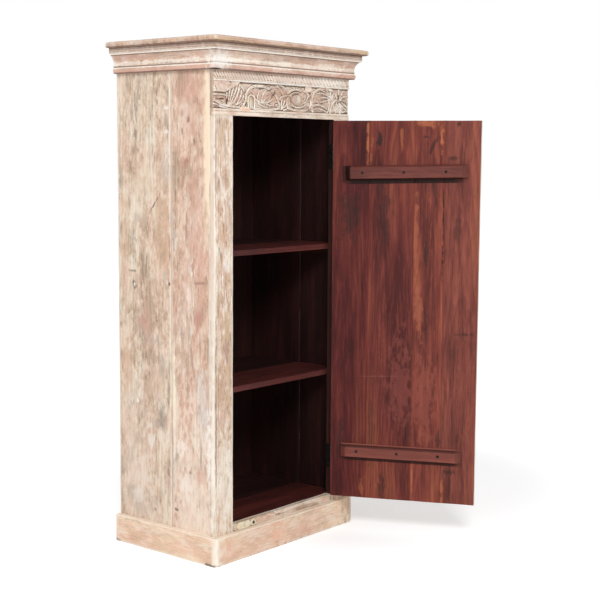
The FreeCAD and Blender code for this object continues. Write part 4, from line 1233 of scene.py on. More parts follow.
@dataclass
class Carcass:
    """Sides, back, face frame, plinth and top boards."""

    room: Room = field(default_factory=Room)
    worn: Weathering = field(default_factory=Weathering)
    coarse: Weathering = field(default_factory=lambda: Weathering(
        cell_along=60.0 * MM, cell_across=40.0 * MM))

    def build(self, finishes: "Finishes") -> None:
        """Build every board of the carcass.

        Args:
            finishes: The materials.
        """
        inner = ((self.room.holds, finishes.inside),)
        lined = ((self.room.is_jamb, finishes.jamb), (self.room.holds, finishes.inside))
        for side in ("left", "right"):
            for half, outside in (("front", finishes.side_front), ("rear", finishes.side_rear)):
                Board(f"side_{side}_{half}", Grain.UPRIGHT, outside, inner,
                      weather=self.worn).build()
        for number in range(1, 5):
            Board(f"back_plank_{number}", Grain.UPRIGHT, finishes.back, inner,
                  weather=self.coarse).build()
        for side in ("left", "right"):
            Board(f"stile_{side}", Grain.UPRIGHT, finishes.stile, lined,
                  weather=self.worn).build()
        Board("threshold", Grain.CROSSWISE, finishes.threshold,
              ((rear_face, finishes.inside),), weather=self.worn).build()
        Board("top_rail", Grain.CROSSWISE, finishes.cornice, inner,
              weather=self.coarse).build()
        Board("plinth_front", Grain.CROSSWISE, finishes.plinth, weather=self.worn).build()
        for side in ("left", "right"):
            Board(f"plinth_{side}", Grain.FORE_AND_AFT, finishes.plinth,
                  weather=self.worn).build()
        for name in ("front", "middle", "rear"):
            Board(f"top_{name}", Grain.CROSSWISE, finishes.top, weather=self.worn).build()


@dataclass
class Cornice:
    """The moulding under the top boards."""

    worn: Weathering = field(default_factory=lambda: Weathering(
        bevel=0.4 * MM, arris_reach=4.0 * MM, arris_depth=0.7 * MM, cell_across=30.0 * MM))

    def build(self, finishes: "Finishes") -> None:
        """Build the three lengths of moulding.

        Args:
            finishes: The materials.
        """
        Board("cornice_front", Grain.CROSSWISE, finishes.cornice, weather=self.worn).build()
        for side in ("left", "right"):
            Board(f"cornice_{side}", Grain.FORE_AND_AFT, finishes.cornice,
                  weather=self.worn).build()


@dataclass
class Shelves:
    """The floor, the two shelves and their cleats."""

    worn: Weathering = field(default_factory=lambda: Weathering(
        arris_depth=0.9 * MM, cell_along=40.0 * MM, cell_across=25.0 * MM))

    def build(self, finishes: "Finishes") -> None:
        """Build every board inside the cabinet.

        Args:
            finishes: The materials.
        """
        for name in ("floor", "shelf_lower", "shelf_upper"):
            for half, finish in (("front", finishes.shelf_front), ("rear", finishes.inside)):
                Board(f"{name}_{half}", Grain.CROSSWISE, finish, slot="dark_inside_wood",
                      weather=self.worn).build()
            for side in ("left", "right"):
                Board(f"{name}_cleat_{side}", Grain.FORE_AND_AFT, finishes.inside,
                      slot="dark_inside_wood", weather=self.worn).build()


@dataclass
class Door:
    """The plank door with its two battens."""

    worn: Weathering = field(default_factory=lambda: Weathering(
        bevel=0.4 * MM, arris_reach=4.0 * MM, arris_depth=0.7 * MM))

    def build(self, finishes: "Finishes") -> None:
        """Build the planks and the battens.

        Args:
            finishes: The materials.
        """
        for number, stained in enumerate(finishes.door_planks, start=1):
            Board(f"door_plank_{number}", Grain.UPRIGHT, finishes.door_outside,
                  ((stained_door_face, stained), (plank_joint, stained)),
                  Body.DOOR, "oiled_door_wood", self.worn).build()
        for name in ("upper", "lower"):
            Board(f"door_batten_{name}", Grain.CROSSWISE, finishes.batten, body=Body.DOOR,
                  slot="oiled_door_wood", weather=self.worn).build()


Place = tuple[float, float]


@dataclass(frozen=True)
class Rib:
    """A curved ridge of the carving, in millimetres, that thins towards its tip."""

    start: Place
    bend: Place
    stop: Place
    half: float = 3.2
    crest: float = -0.3
    tip: float = 0.55

    STEPS = 12
    WINDOW = 2.6
    FAR = 1e3
    TINY = 1e-9
    VEINED = 3.4
    VEIN_DEPTH = 1.8
    VEIN_SHARE = 0.42
    SKIRT = 2.4
    SKIRT_RISE = 0.3

    def gaps(self, u: np.ndarray, v: np.ndarray) -> tuple:
        """Distances from the ridge's line, in the window round it.

        Args:
            u: Place along the frieze.
            v: Height over its lower edge.

        Returns:
            The window, the distances and the half widths.
        """
        share = np.linspace(0.0, 1.0, self.STEPS + 1)[:, None]
        curve = ((1 - share) ** 2 * np.array(self.start)
                 + 2 * share * (1 - share) * np.array(self.bend)
                 + share ** 2 * np.array(self.stop))
        reach = self.half * self.WINDOW
        low, high = curve.min(axis=0) - reach, curve.max(axis=0) + reach
        columns = np.flatnonzero((u[0] > low[0]) & (u[0] < high[0]))
        rows = np.flatnonzero((v[:, 0] > low[1]) & (v[:, 0] < high[1]))
        window = np.ix_(rows, columns)
        near_u, near_v = u[window], v[window]
        best = np.full(near_u.shape, self.FAR)
        half = np.full(near_u.shape, self.half)
        for number in range(self.STEPS):
            first, span = curve[number], curve[number + 1] - curve[number]
            along = ((near_u - first[0]) * span[0] + (near_v - first[1]) * span[1])
            along = np.clip(along / max(span @ span, self.TINY), 0.0, 1.0)
            gap = np.hypot(near_u - first[0] - along * span[0],
                           near_v - first[1] - along * span[1])
            here = self.half * (1.0 - (1.0 - self.tip) * (number + along) / self.STEPS)
            nearer = gap / here < best / half
            best = np.where(nearer, gap, best)
            half = np.where(nearer, here, half)
        return window, best, half

    def cut_into(self, u: np.ndarray, v: np.ndarray, height: np.ndarray) -> None:
        """Cut the line as a groove as deep as its crest is negative.

        Args:
            u: Place along the frieze.
            v: Height over its lower edge.
            height: Heights so far, changed in place.
        """
        window, best, half = self.gaps(u, v)
        height[window] += self.crest * np.clip(1.0 - (best / half) ** 2, 0.0, 1.0)

    def raise_on(self, u: np.ndarray, v: np.ndarray, height: np.ndarray,
                 ground: float) -> None:
        """Raise the ridge and the soft body under it, with a vein along a wide ridge.

        Args:
            u: Place along the frieze.
            v: Height over its lower edge.
            height: Heights so far, changed in place.
            ground: Height of the ground.
        """
        window, best, half = self.gaps(u, v)
        ridge = np.sqrt(np.clip(1.0 - (best / half) ** 2, 0.0, 1.0))
        rise = ground + (self.crest - ground) * ridge
        if self.half >= self.VEINED:
            rise -= self.VEIN_DEPTH * np.clip(1.0 - best / (half * self.VEIN_SHARE), 0.0, 1.0)
        skirt = np.clip(1.0 - (best / (half * self.SKIRT)) ** 2, 0.0, 1.0)
        body = ground + (self.crest - ground) * self.SKIRT_RISE * np.sqrt(skirt)
        height[window] = np.maximum(height[window], np.maximum(rise, body))


def fan(root: Place, tips: Sequence[tuple[Place, Place]], half: float = 3.0,
        crest: float = -0.5) -> tuple[Rib, ...]:
    """Ribs of a leaf that spread from one root.

    Args:
        root: Where they start.
        tips: The bend and the tip of each.
        half: Their half width at the root.
        crest: Their height over the face.

    Returns:
        The ribs.
    """
    return tuple(Rib(root, bend, tip, half, crest) for bend, tip in tips)


@dataclass
class Carving:
    """Heights of the carved frieze, in millimetres over its face, as functions of place.

    u runs along the frieze from its middle, v up from its lower edge.
    """

    width: float = 606.0
    height: float = 125.0
    field_foot: float = 17.0
    field_head: float = 95.0
    ground: float = -4.4
    bead_low: float = 95.0
    bead_high: float = 99.5
    hatch_low: float = 103.0
    hatch_high: float = 121.0
    hatch_pitches: Place = (9.6, 16.5)
    hatch_lean: float = -0.7
    hatch_depth: float = 1.35
    gouge_count: int = 230
    gouge_seed: int = 11
    gouge_floor: float = 0.8
    bead_rise: float = 1.6
    hatch_half: float = 0.34
    hatch_wall: float = 1.5
    groove_middle: float = 11.5
    groove_half: float = 1.3
    groove_depth: float = 1.2
    wall: float = 2.0

    BOSSES = (((-178, 19), (27, 9), -0.2), ((218, 63), (6, 5), 0.8),
              ((262, 62), (7, 7), 0.6), ((-40, 34), (5, 5), 0.2))
    BLOCK_LEFT, BLOCK_RIGHT, BLOCK_FOOT = 90.0, 121.0, 77.0
    FRUIT_MIDDLE, FRUIT_REACH, FRUIT_CREST = (53.0, 53.0), (27.0, 15.0), 0.9
    FRUIT_LEAN, FRUIT_PITCH, FRUIT_CUT, FRUIT_DEPTH, FRUIT_RIM = 1.2, 6.4, 0.2, 1.9, 0.93
    WING_FOOT, WING_BEND, WING_RISE, WING_END, WING_SINK = 63.0, -258.0, 0.42, -199.0, 0.2
    RIPPLE_MIDDLE, RIPPLE_REACH, RIPPLE_HEIGHT = 68.0, 7.0, 0.5
    FIRST_LEAF = (
        Rib((-303, 42), (-265, 24), (-203, 24), 4.6, 0.0, 0.8),
        Rib((-303, 31), (-262, 15), (-200, 19), 2.6, -0.8),
        Rib((-303, 57), (-276, 59), (-250, 54), 3.6, 0.0),
        Rib((-243, 27), (-207, 42), (-200, 88), 4.0, 0.2, 0.7),
        Rib((-201, 88), (-184, 82), (-173, 55), 3.4, 0.0),
        *fan((-243, 27), (((-257, 44), (-252, 62)), ((-248, 50), (-239, 73)),
                          ((-236, 55), (-223, 81)), ((-222, 52), (-210, 84)))),
        *fan((-214, 31), (((-198, 42), (-191, 70)), ((-190, 36), (-181, 60)))),
        Rib((-162, 26), (-170, 60), (-150, 60), 3.0, 0.1, 1.0),
        Rib((-150, 60), (-131, 58), (-137, 26), 3.0, 0.1, 1.0),
        Rib((-150, 28), (-151, 40), (-149, 49), 3.6, -1.8),
    )
    SECOND_SCROLL = (
        Rib((-190, 24), (-172, 36), (-171, 60), 4.2, 0.2, 1.0),
        Rib((-171, 60), (-160, 88), (-114, 87), 4.8, 0.5, 1.0),
        Rib((-114, 87), (-64, 88), (-38, 56), 4.8, 0.5, 0.9),
        Rib((-38, 56), (-28, 42), (-36, 27), 3.6, 0.0),
        Rib((-137, 22), (-95, 16), (-46, 23), 4.4, 0.0, 0.9),
        Rib((-46, 23), (-28, 22), (-25, 36), 3.4, 0.0),
        Rib((-25, 36), (-27, 48), (-40, 44), 3.0, -0.4),
        Rib((-135, 50), (-105, 32), (-66, 45), 3.2, 0.0),
        *fan((-124, 44), (((-140, 55), (-143, 68)), ((-126, 62), (-112, 76)))),
        *fan((-104, 38), (((-108, 58), (-90, 74)), ((-96, 48), (-70, 62)))),
        *fan((-86, 38), (((-70, 46), (-54, 52)), ((-76, 34), (-58, 32)))),
        Rib((-120, 40), (-108, 30), (-92, 29), 2.6, -1.2),
    )
    MIDDLE_LEAF = (
        Rib((-37, 90), (-18, 82), (-8, 60), 3.8, 0.0),
        Rib((-26, 93), (-2, 90), (9, 74), 3.4, 0.0),
        Rib((-20, 58), (4, 67), (28, 64), 3.6, 0.1),
        *fan((-18, 24), (((-20, 40), (-14, 54)), ((-8, 38), (-2, 50)), ((0, 32), (10, 44)))),
        Rib((-8, 22), (4, 22), (12, 30), 3.0, -0.4),
    )
    FRUIT_SCROLL = (
        Rib((12, 70), (36, 92), (72, 80), 4.0, 0.2, 0.8),
        Rib((20, 64), (40, 80), (66, 74), 2.8, -0.6),
        Rib((80, 50), (93, 54), (94, 70), 3.8, -0.2),
        Rib((80, 44), (101, 48), (104, 66), 3.4, -0.2),
        Rib((84, 82), (113, 74), (118, 48), 4.2, 0.3, 1.0),
        Rib((118, 48), (119, 27), (92, 24), 4.2, 0.3, 1.0),
        Rib((92, 24), (56, 20), (11, 28), 4.2, 0.2, 0.8),
        Rib((26, 44), (38, 29), (62, 31), 3.2, -0.2, 1.0),
        Rib((62, 31), (84, 31), (92, 43), 3.2, -0.2),
        Rib((12, 28), (0, 44), (13, 60), 3.2, 0.0),
    )
    LAST_SCROLL = (
        Rib((127, 22), (117, 58), (133, 76), 4.2, 0.3, 1.0),
        Rib((133, 76), (154, 96), (191, 92), 4.4, 0.4, 1.0),
        Rib((191, 92), (238, 93), (247, 61), 4.4, 0.4, 0.9),
        *fan((218, 62), (((182, 84), (150, 76)), ((190, 88), (166, 86)), ((204, 84), (187, 91)),
                         ((215, 78), (209, 91)), ((228, 76), (231, 86))), 3.4, 0.0),
        *fan((216, 60), (((190, 70), (158, 62)), ((190, 56), (166, 50)))),
        *fan((133, 50), (((140, 64), (151, 52)), ((150, 56), (160, 44))), 3.4, -0.6),
        Rib((131, 38), (160, 50), (198, 30), 4.0, 0.0),
        Rib((134, 28), (165, 36), (196, 21), 3.4, -0.4),
        Rib((204, 58), (214, 38), (199, 21), 4.6, -0.1),
        Rib((212, 19), (215, 50), (246, 62), 4.2, 0.1, 0.9),
        Rib((246, 62), (270, 48), (262, 19), 4.2, 0.1, 0.8),
        Rib((246, 58), (241, 38), (237, 19), 2.8, -0.4),
        *fan((238, 26), (((230, 36), (226, 46)), ((248, 34), (256, 40))), 2.6, -0.9),
    )
    END_FLOWER = (
        *fan((262, 62), (((280, 76), (300, 72)), ((284, 59), (301, 52)), ((266, 84), (283, 89)),
                         ((248, 84), (256, 92)), ((280, 44), (300, 39))), 3.8, 0.2),
        Rib((264, 48), (286, 30), (301, 24), 3.2, -0.3),
        Rib((272, 24), (284, 21), (292, 34), 2.8, -0.6),
    )

    def gouges(self) -> list[Rib]:
        """Short slanting tool cuts all over the field.

        Returns:
            The cuts, as lines to be cut in.
        """
        chance = Random(self.gouge_seed)
        cuts = []
        for _ in range(self.gouge_count):
            start = (chance.uniform(-300.0, 300.0), chance.uniform(20.0, 92.0))
            lean = chance.uniform(0.0, math.tau)
            length = chance.uniform(6.0, 15.0)
            stop = (start[0] + length * math.cos(lean), start[1] + length * math.sin(lean))
            bend = ((start[0] + stop[0]) / 2 + chance.uniform(-3.0, 3.0),
                    (start[1] + stop[1]) / 2 + chance.uniform(-3.0, 3.0))
            cuts.append(Rib(start, bend, stop, chance.uniform(1.5, 2.4),
                            chance.uniform(-2.0, -0.8)))
        return cuts

    def ribs(self) -> tuple[Rib, ...]:
        """Every ridge of the field, from left to right."""
        return (self.FIRST_LEAF + self.SECOND_SCROLL + self.MIDDLE_LEAF + self.FRUIT_SCROLL
                + self.LAST_SCROLL + self.END_FLOWER)

    def bump(self, u: np.ndarray, v: np.ndarray, centre: Place, reach: Place,
             crest: float) -> np.ndarray:
        """Height of an oval boss.

        Args:
            u: Place along the frieze.
            v: Height over its lower edge.
            centre: Its middle.
            reach: Its half width and half height.
            crest: Its height over the face.

        Returns:
            The boss's height, with the ground around it.
        """
        away = np.hypot((u - centre[0]) / reach[0], (v - centre[1]) / reach[1])
        return self.ground + (crest - self.ground) * np.sqrt(np.clip(1.0 - away ** 2, 0.0, 1.0))

    def fruit(self, u: np.ndarray, v: np.ndarray) -> np.ndarray:
        """Height of the fruit with its crossed cuts.

        Args:
            u: Place along the frieze.
            v: Height over its lower edge.

        Returns:
            The fruit's height.
        """
        middle, reach = self.FRUIT_MIDDLE, self.FRUIT_REACH
        height = self.bump(u, v, middle, reach, self.FRUIT_CREST)
        away = np.hypot((u - middle[0]) / reach[0], (v - middle[1]) / reach[1])
        for lean in (self.FRUIT_LEAN, -self.FRUIT_LEAN):
            place = ((u - middle[0]) + lean * (v - middle[1])) / self.FRUIT_PITCH % 1.0
            cut = np.clip(1.0 - np.abs(place - 0.5) / self.FRUIT_CUT, 0.0, 1.0)
            height -= self.FRUIT_DEPTH * cut * (away < self.FRUIT_RIM)
        return height

    def left_wing(self, u: np.ndarray, v: np.ndarray) -> np.ndarray:
        """Height of the uncarved part at the left end, with its worn ripples.

        Args:
            u: Place along the frieze.
            v: Height over its lower edge.

        Returns:
            The wing's height.
        """
        edge = self.WING_FOOT + np.clip(u - self.WING_BEND, 0.0, 60.0) * self.WING_RISE
        rise = (np.clip((v - edge) / 2.5, 0.0, 1.0)
                * np.clip((self.WING_END - u) / 3.0, 0.0, 1.0))
        ripple = np.exp(-((v - self.RIPPLE_MIDDLE) / self.RIPPLE_REACH) ** 2)
        ripple *= self.RIPPLE_HEIGHT * np.sin(v * 1.3 + u * 0.02)
        return self.ground + (-self.ground - self.WING_SINK + ripple) * rise

    def heights(self, u: np.ndarray, v: np.ndarray) -> np.ndarray:
        """Height of the whole frieze over its face.

        Args:
            u: Place along the frieze.
            v: Height over its lower edge.

        Returns:
            Heights in millimetres; the face is at 0.
        """
        carved = np.full(u.shape, self.ground)
        for rib in self.ribs():
            rib.raise_on(u, v, carved, self.ground)
        carved = np.maximum(carved, self.fruit(u, v))
        carved = np.maximum(carved, self.left_wing(u, v))
        for centre, reach, crest in self.BOSSES:
            carved = np.maximum(carved, self.bump(u, v, centre, reach, crest))
        across = np.minimum(u - self.BLOCK_LEFT, self.BLOCK_RIGHT - u)
        block = np.clip(np.minimum(across, v - self.BLOCK_FOOT) / self.wall, 0.0, 1.0)
        carved = np.maximum(carved, self.ground - self.ground * block)
        for cut in self.gouges():
            cut.cut_into(u, v, carved)
        carved = np.maximum(carved, self.ground - self.gouge_floor)
        rim = np.minimum(v - self.field_foot, self.field_head - v)
        carved = np.maximum(carved, np.clip(-rim * self.wall, self.ground, 0.0))
        height = np.where((v > self.field_foot) & (v < self.field_head), carved, 0.0)
        bead = (v - (self.bead_low + self.bead_high) / 2) / ((self.bead_high - self.bead_low) / 2)
        height += self.bead_rise * np.sqrt(np.clip(1.0 - bead ** 2, 0.0, 1.0))
        inside = (v > self.hatch_low) & (v < self.hatch_high)
        first, last = self.hatch_pitches
        share = (u - v * self.hatch_lean) / self.width + 0.5
        pitch = first + (last - first) * share
        place = np.log(pitch / first) * self.width / (last - first) % 1.0
        cut = np.clip(1.0 - np.abs(place - 0.5) / self.hatch_half, 0.0, 1.0)
        depth = self.hatch_depth * np.minimum(cut * self.hatch_wall, 1.0)
        height -= np.where(inside, depth, 0.0)
        groove = np.abs(v - self.groove_middle) / self.groove_half
        return height - self.groove_depth * np.clip(1.0 - groove, 0.0, 1.0)


def blurred(height: np.ndarray, reach: int) -> np.ndarray:
    """Average every cell of a grid with its neighbours.

    Args:
        height: The grid.
        reach: How many cells to each side are averaged.

    Returns:
        The smoothed grid.
    """
    for axis in (0, 1):
        padding = [(0, 0), (0, 0)]
        padding[axis] = (reach, reach)
        wide = np.pad(height, padding, mode="edge")
        count = height.shape[axis]
        height = sum(np.take(wide, range(start, start + count), axis=axis)
                     for start in range(reach * 2 + 1)) / (reach * 2 + 1)
    return height


@dataclass
class Frieze:
    """The carved frieze board as a fine relief."""

    carving: Carving = field(default_factory=Carving)
    cell: float = 1.1
    node: str = "frieze_carved"
    wear_depth: float = 0.5

    ROUGH_ALONG, ROUGH_PLACE, ROUGH_UP = 0.06, 2.0, 0.09
    ROUGH_DETAIL = (0.7, 2.1, 4)
    FINE_CELLS, WIDE_CELLS = 2, 6
    FINE_HOLLOW, WIDE_HOLLOW, HOLLOW_SHARE = 0.9, 2.0, 0.5
    FINE_CREST, WIDE_CREST, CREST_SHARE = 1.1, 2.2, 0.35
    SEED = 5.0

    def grid(self) -> tuple[np.ndarray, np.ndarray, np.ndarray]:
        """Lay a grid over the face and wear the carving on it.

        Returns:
            Places along and up, and heights over the face, all in millimetres.
        """
        carving = self.carving
        columns = int(carving.width / self.cell)
        rows = int(carving.height / self.cell)
        u, v = np.meshgrid(np.linspace(-carving.width / 2, carving.width / 2, columns + 1),
                           np.linspace(0.0, carving.height, rows + 1))
        rough = np.array([noise.fractal(Vector((a * self.ROUGH_ALONG, self.ROUGH_PLACE,
                                                b * self.ROUGH_UP)), *self.ROUGH_DETAIL)
                          for a, b in zip(u.ravel(), v.ravel())]).reshape(u.shape)
        return u, v, carving.heights(u, v) - self.wear_depth * np.abs(rough)

    def shades(self, height: np.ndarray) -> dict[str, np.ndarray]:
        """How deep each place lies and how hollow or proud it is.

        Args:
            height: Heights of the grid over the face.

        Returns:
            The values that the carved finish reads, by name.
        """
        ground = self.carving.ground
        fine = height - blurred(height, self.FINE_CELLS)
        wide = height - blurred(height, self.WIDE_CELLS)
        return {
            "relief": np.clip((height - ground) / -ground, 0.0, 1.0),
            "cavity": (np.clip(-fine / self.FINE_HOLLOW, 0.0, 1.0)
                       + self.HOLLOW_SHARE * np.clip(-wide / self.WIDE_HOLLOW, 0.0, 1.0)),
            "crest": (np.clip(fine / self.FINE_CREST, 0.0, 1.0)
                      + self.CREST_SHARE * np.clip(wide / self.WIDE_CREST, 0.0, 1.0)),
        }

    def solid(self, front: np.ndarray, rear_y: float) -> bpy.types.Mesh:
        """Close a grid of points with four edges and a flat rear.

        Args:
            front: The points, in rows from the foot up.
            rear_y: Depth of the rear.

        Returns:
            The mesh: the grid's points first, then the rear's.
        """
        rows, columns = front.shape[0] - 1, front.shape[1] - 1
        stride = columns + 1
        mesh = bmesh.new()
        verts = [mesh.verts.new(spot) for spot in front.reshape(-1, 3)]
        for row in range(rows):
            for column in range(columns):
                corner = row * stride + column
                mesh.faces.new((verts[corner], verts[corner + 1], verts[corner + stride + 1],
                                verts[corner + stride]))
        loop = list(range(columns + 1))
        loop += [row * stride + columns for row in range(1, rows + 1)]
        loop += [rows * stride + column for column in range(columns - 1, -1, -1)]
        loop += [row * stride for row in range(rows - 1, 0, -1)]
        rear = [mesh.verts.new((verts[index].co.x, rear_y, verts[index].co.z))
                for index in loop]
        for place, index in enumerate(loop):
            following = (place + 1) % len(loop)
            mesh.faces.new((verts[index], rear[place], rear[following], verts[loop[following]]))
        mesh.faces.new(rear[::-1])
        bmesh.ops.recalc_face_normals(mesh, faces=mesh.faces)
        for face in mesh.faces:
            face.smooth = True
        made = bpy.data.meshes.new(self.node)
        mesh.to_mesh(made)
        mesh.free()
        return made

    def build(self, material: bpy.types.Material) -> bpy.types.Object:
        """Build the relief and hide its node.

        Args:
            material: The carved finish.

        Returns:
            The new piece.
        """
        low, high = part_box(self.node)
        u, v, height = self.grid()
        proud = max(height.max() * MM + low.y, 0.0)
        made = self.solid(np.stack([u * MM, proud - height * MM, low.z + v * MM], axis=-1),
                          high.y)
        rear_count = len(made.vertices) - height.size
        values = {}
        for name, shade in self.shades(height).items():
            rear_value = 1.0 if name == "relief" else 0.0
            values[name] = shade.ravel().tolist() + [rear_value] * rear_count
        self.carry(made, **values)
        made.materials.append(material)
        piece = finish_object(made, self.node + "_relief", Body.CARCASS)
        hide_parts(self.node)
        LOG.info("frieze: %d faces", len(made.polygons))
        return piece

    def carry(self, mesh: bpy.types.Mesh, **numbers: Sequence[float]) -> None:
        """Store what the carved finish reads at each vertex.

        Args:
            mesh: The finished mesh.
            **numbers: Values by name, one for each vertex.
        """
        place = np.array([vertex.co for vertex in mesh.vertices])
        grain = place[:, Grain.CROSSWISE.value].copy()
        grain[:, 0] -= grain[:, 0].mean()
        level = [0.0] * len(place)
        carry_values(mesh, grain, place, self.SEED, arris=level, grime=level, **numbers)


@dataclass
class Ironwork:
    """Hinges, screws and the turn button."""

    bevel: float = 0.35 * MM
    segments: int = 2
    sharp: float = math.radians(30.0)

    def soften(self, node: str, material: bpy.types.Material) -> None:
        """Dress a CAD node as it is, with its edges eased.

        Args:
            node: Name of the node.
            material: Its finish.
        """
        thing = frame["nodes"][node]
        thing.data.materials.clear()
        thing.data.materials.append(material)
        ease = thing.modifiers.new("eased", "BEVEL")
        ease.width = self.bevel
        ease.segments = self.segments
        ease.limit_method = "ANGLE"
        ease.angle_limit = self.sharp

    def build(self, finishes: "Finishes") -> None:
        """Dress the hinges and the turn button.

        Args:
            finishes: The materials.
        """
        for which in ("upper", "lower"):
            for piece in ("frame_leaf", "door_leaf", "pin"):
                self.soften(f"hinge_{which}_{piece}", finishes.iron)
            for piece in ("frame_screws", "door_screws"):
                self.soften(f"hinge_{which}_{piece}", finishes.screw)
            self.soften(f"batten_screws_{which}", finishes.screw)
        self.soften("turn_button", finishes.button)
        self.soften("turn_button_screw", finishes.button_screw)
        self.soften("turn_button_washer", finishes.screw)
        LOG.info("ironwork dressed")


Mark = tuple[float, float, float, float, Colour, float, float, float]

KNOT: Colour = (0.20, 0.125, 0.095)
DARK_KNOT: Colour = (0.13, 0.085, 0.065)
WHITE_LIME: Colour = (0.86, 0.84, 0.80)
SOOTY: Colour = (0.030, 0.016, 0.014)
FLAME: Colour = (0.40, 0.125, 0.055)


class Face(Enum):
    """The plane in which a list of marks is given, with the level of that plane."""

    SIDE = -303.0
    FRONT = 0.0
    DOOR = 20.0


def marks(face: Face, rows: Sequence[Mark], ragged: float = 1.0,
          shape: type[Effect] = SpotEffect) -> tuple[Spot, ...]:
    """Turn rows of marks in millimetres into spots.

    Args:
        face: The plane that the rows lie in.
        rows: Place along and up, reach along and up, colour, strength, ring bend and lean.
        ragged: How uneven their edges are.
        shape: Whether they are ovals or boxes.

    Returns:
        The spots.
    """
    depth = 0.03
    made = []
    for along, up, reach_along, reach_up, colour, strength, rings, lean in rows:
        if face is Face.SIDE:
            centre = (face.value * MM, along * MM, up * MM)
            reach = (depth, reach_along * MM, reach_up * MM)
            axis = (1.0, 0.0, 0.0)
        else:
            centre = (along * MM, face.value * MM, up * MM)
            reach = (reach_along * MM, depth, reach_up * MM)
            axis = (0.0, 1.0, 0.0)
        made.append(Spot(centre, reach, colour, strength, rings, ragged, lean, axis, shape))
    return tuple(made)


def levels(rows: Sequence[tuple[float, float, Colour, float, float]]) -> tuple[Spot, ...]:
    """Turn rows into lines or bands that run round the cabinet at one height.

    Args:
        rows: Height and half height in millimetres, colour, strength and raggedness.

    Returns:
        The spots.
    """
    return tuple(Spot((0.0, 0.2, up * MM), (9.0, 9.0, reach * MM), colour, strength,
                      ragged=ragged) for up, reach, colour, strength, ragged in rows)


SIDE_FRONT_MARKS = (
    (95, 130, 130, 420, (0.88, 0.75, 0.63), 0.5, 0, 0),
    (105, 1360, 55, 50, (0.60, 0.33, 0.26), 0.45, 0, 0),
    (85, 1010, 36, 220, (0.58, 0.33, 0.26), 0.5, 0, 0),
    (95, 1290, 30, 110, (0.62, 0.36, 0.29), 0.45, 0, 0),
    (110, 800, 24, 200, (0.60, 0.35, 0.27), 0.4, 0, 0),
    (60, 860, 18, 120, (0.62, 0.38, 0.30), 0.4, 0, 0), (104, 1276, 6, 16, KNOT, 0.75, 3, 0),
    (128, 1241, 5, 18, KNOT, 0.7, 3, 0), (80, 1211, 6, 14, KNOT, 0.6, 2, 0),
    (111, 1156, 10, 16, (0.42, 0.20, 0.15), 0.6, 2, 0),
    (57, 812, 37, 4, (0.33, 0.19, 0.15), 0.6, 0, 6),
    (68, 704, 16, 30, (0.50, 0.25, 0.19), 0.5, 2, 0),
    (57, 317, 6, 52, (0.28, 0.19, 0.15), 0.55, 1, 0), (100, 257, 6, 8, DARK_KNOT, 0.85, 3, 0),
    (156, 137, 8, 6, DARK_KNOT, 0.8, 2, 0), (45, 460, 30, 110, (0.60, 0.52, 0.50), 0.45, 0, 0),
    (168, 480, 8, 140, (0.88, 0.76, 0.52), 0.7, 0, 0),
    (92, 590, 5, 60, (0.30, 0.18, 0.14), 0.5, 0, 8),
    (140, 1180, 4, 150, (0.48, 0.30, 0.24), 0.4, 0, 0),
    (70, 1120, 4, 130, (0.50, 0.29, 0.23), 0.4, 0, 1),
    (132, 620, 4, 150, (0.46, 0.31, 0.25), 0.4, 0, -1),
    (74, 480, 4, 160, (0.50, 0.34, 0.28), 0.35, 0, 1),
    (114, 1152, 9, 20, (0.46, 0.21, 0.17), 0.6, 2, 0),
    (127, 1080, 6, 60, (0.46, 0.25, 0.20), 0.5, 1, 0),
    (112, 957, 6, 60, (0.34, 0.21, 0.17), 0.55, 1, 0),
    (85, 871, 7, 45, (0.44, 0.22, 0.17), 0.55, 1, -6),
    (68, 708, 18, 36, (0.54, 0.27, 0.23), 0.5, 1, 0),
    (52, 884, 30, 44, (0.60, 0.32, 0.25), 0.45, 0, 0),
    (60, 251, 22, 30, (0.64, 0.33, 0.26), 0.5, 2, 0),
    (104, 770, 8, 60, (0.88, 0.80, 0.72), 0.5, 0, 0),
    (28, 330, 9, 120, (0.90, 0.85, 0.80), 0.6, 0, 0),
    (18, 480, 7, 90, (0.88, 0.83, 0.78), 0.5, 0, 0),
    (134, 325, 20, 36, (0.88, 0.78, 0.70), 0.5, 0, 0),
    (116, 223, 26, 60, (0.86, 0.80, 0.72), 0.45, 0, 0),
    (60, 640, 7, 60, (0.42, 0.24, 0.20), 0.45, 1, 0),
    (24, 860, 6, 60, (0.60, 0.34, 0.27), 0.5, 0, 0),
)
SIDE_EDGE_MARKS = (
    (29, 1215, 21, 330, (0.90, 0.74, 0.55), 0.8, 0, 0),
    (19, 700, 5, 500, (0.92, 0.84, 0.73), 0.6, 0, 0),
    (18.6, 1068, 3.8, 60, (0.09, 0.06, 0.045), 0.95, 0, 0),
    (164, 430, 6, 300, (0.92, 0.82, 0.68), 0.6, 0, 0),
    (172, 1050, 4, 420, (0.62, 0.44, 0.36), 0.6, 0, 0),
    (173, 300, 2.5, 330, (0.50, 0.37, 0.30), 0.55, 0, 0),
)
SIDE_REAR_EDGE: tuple[Mark, ...] = ((175, 950, 4, 560, (0.56, 0.42, 0.33), 0.6, 0, 0),
                                    (175, 250, 3.5, 230, (0.50, 0.38, 0.31), 0.55, 0, 0))
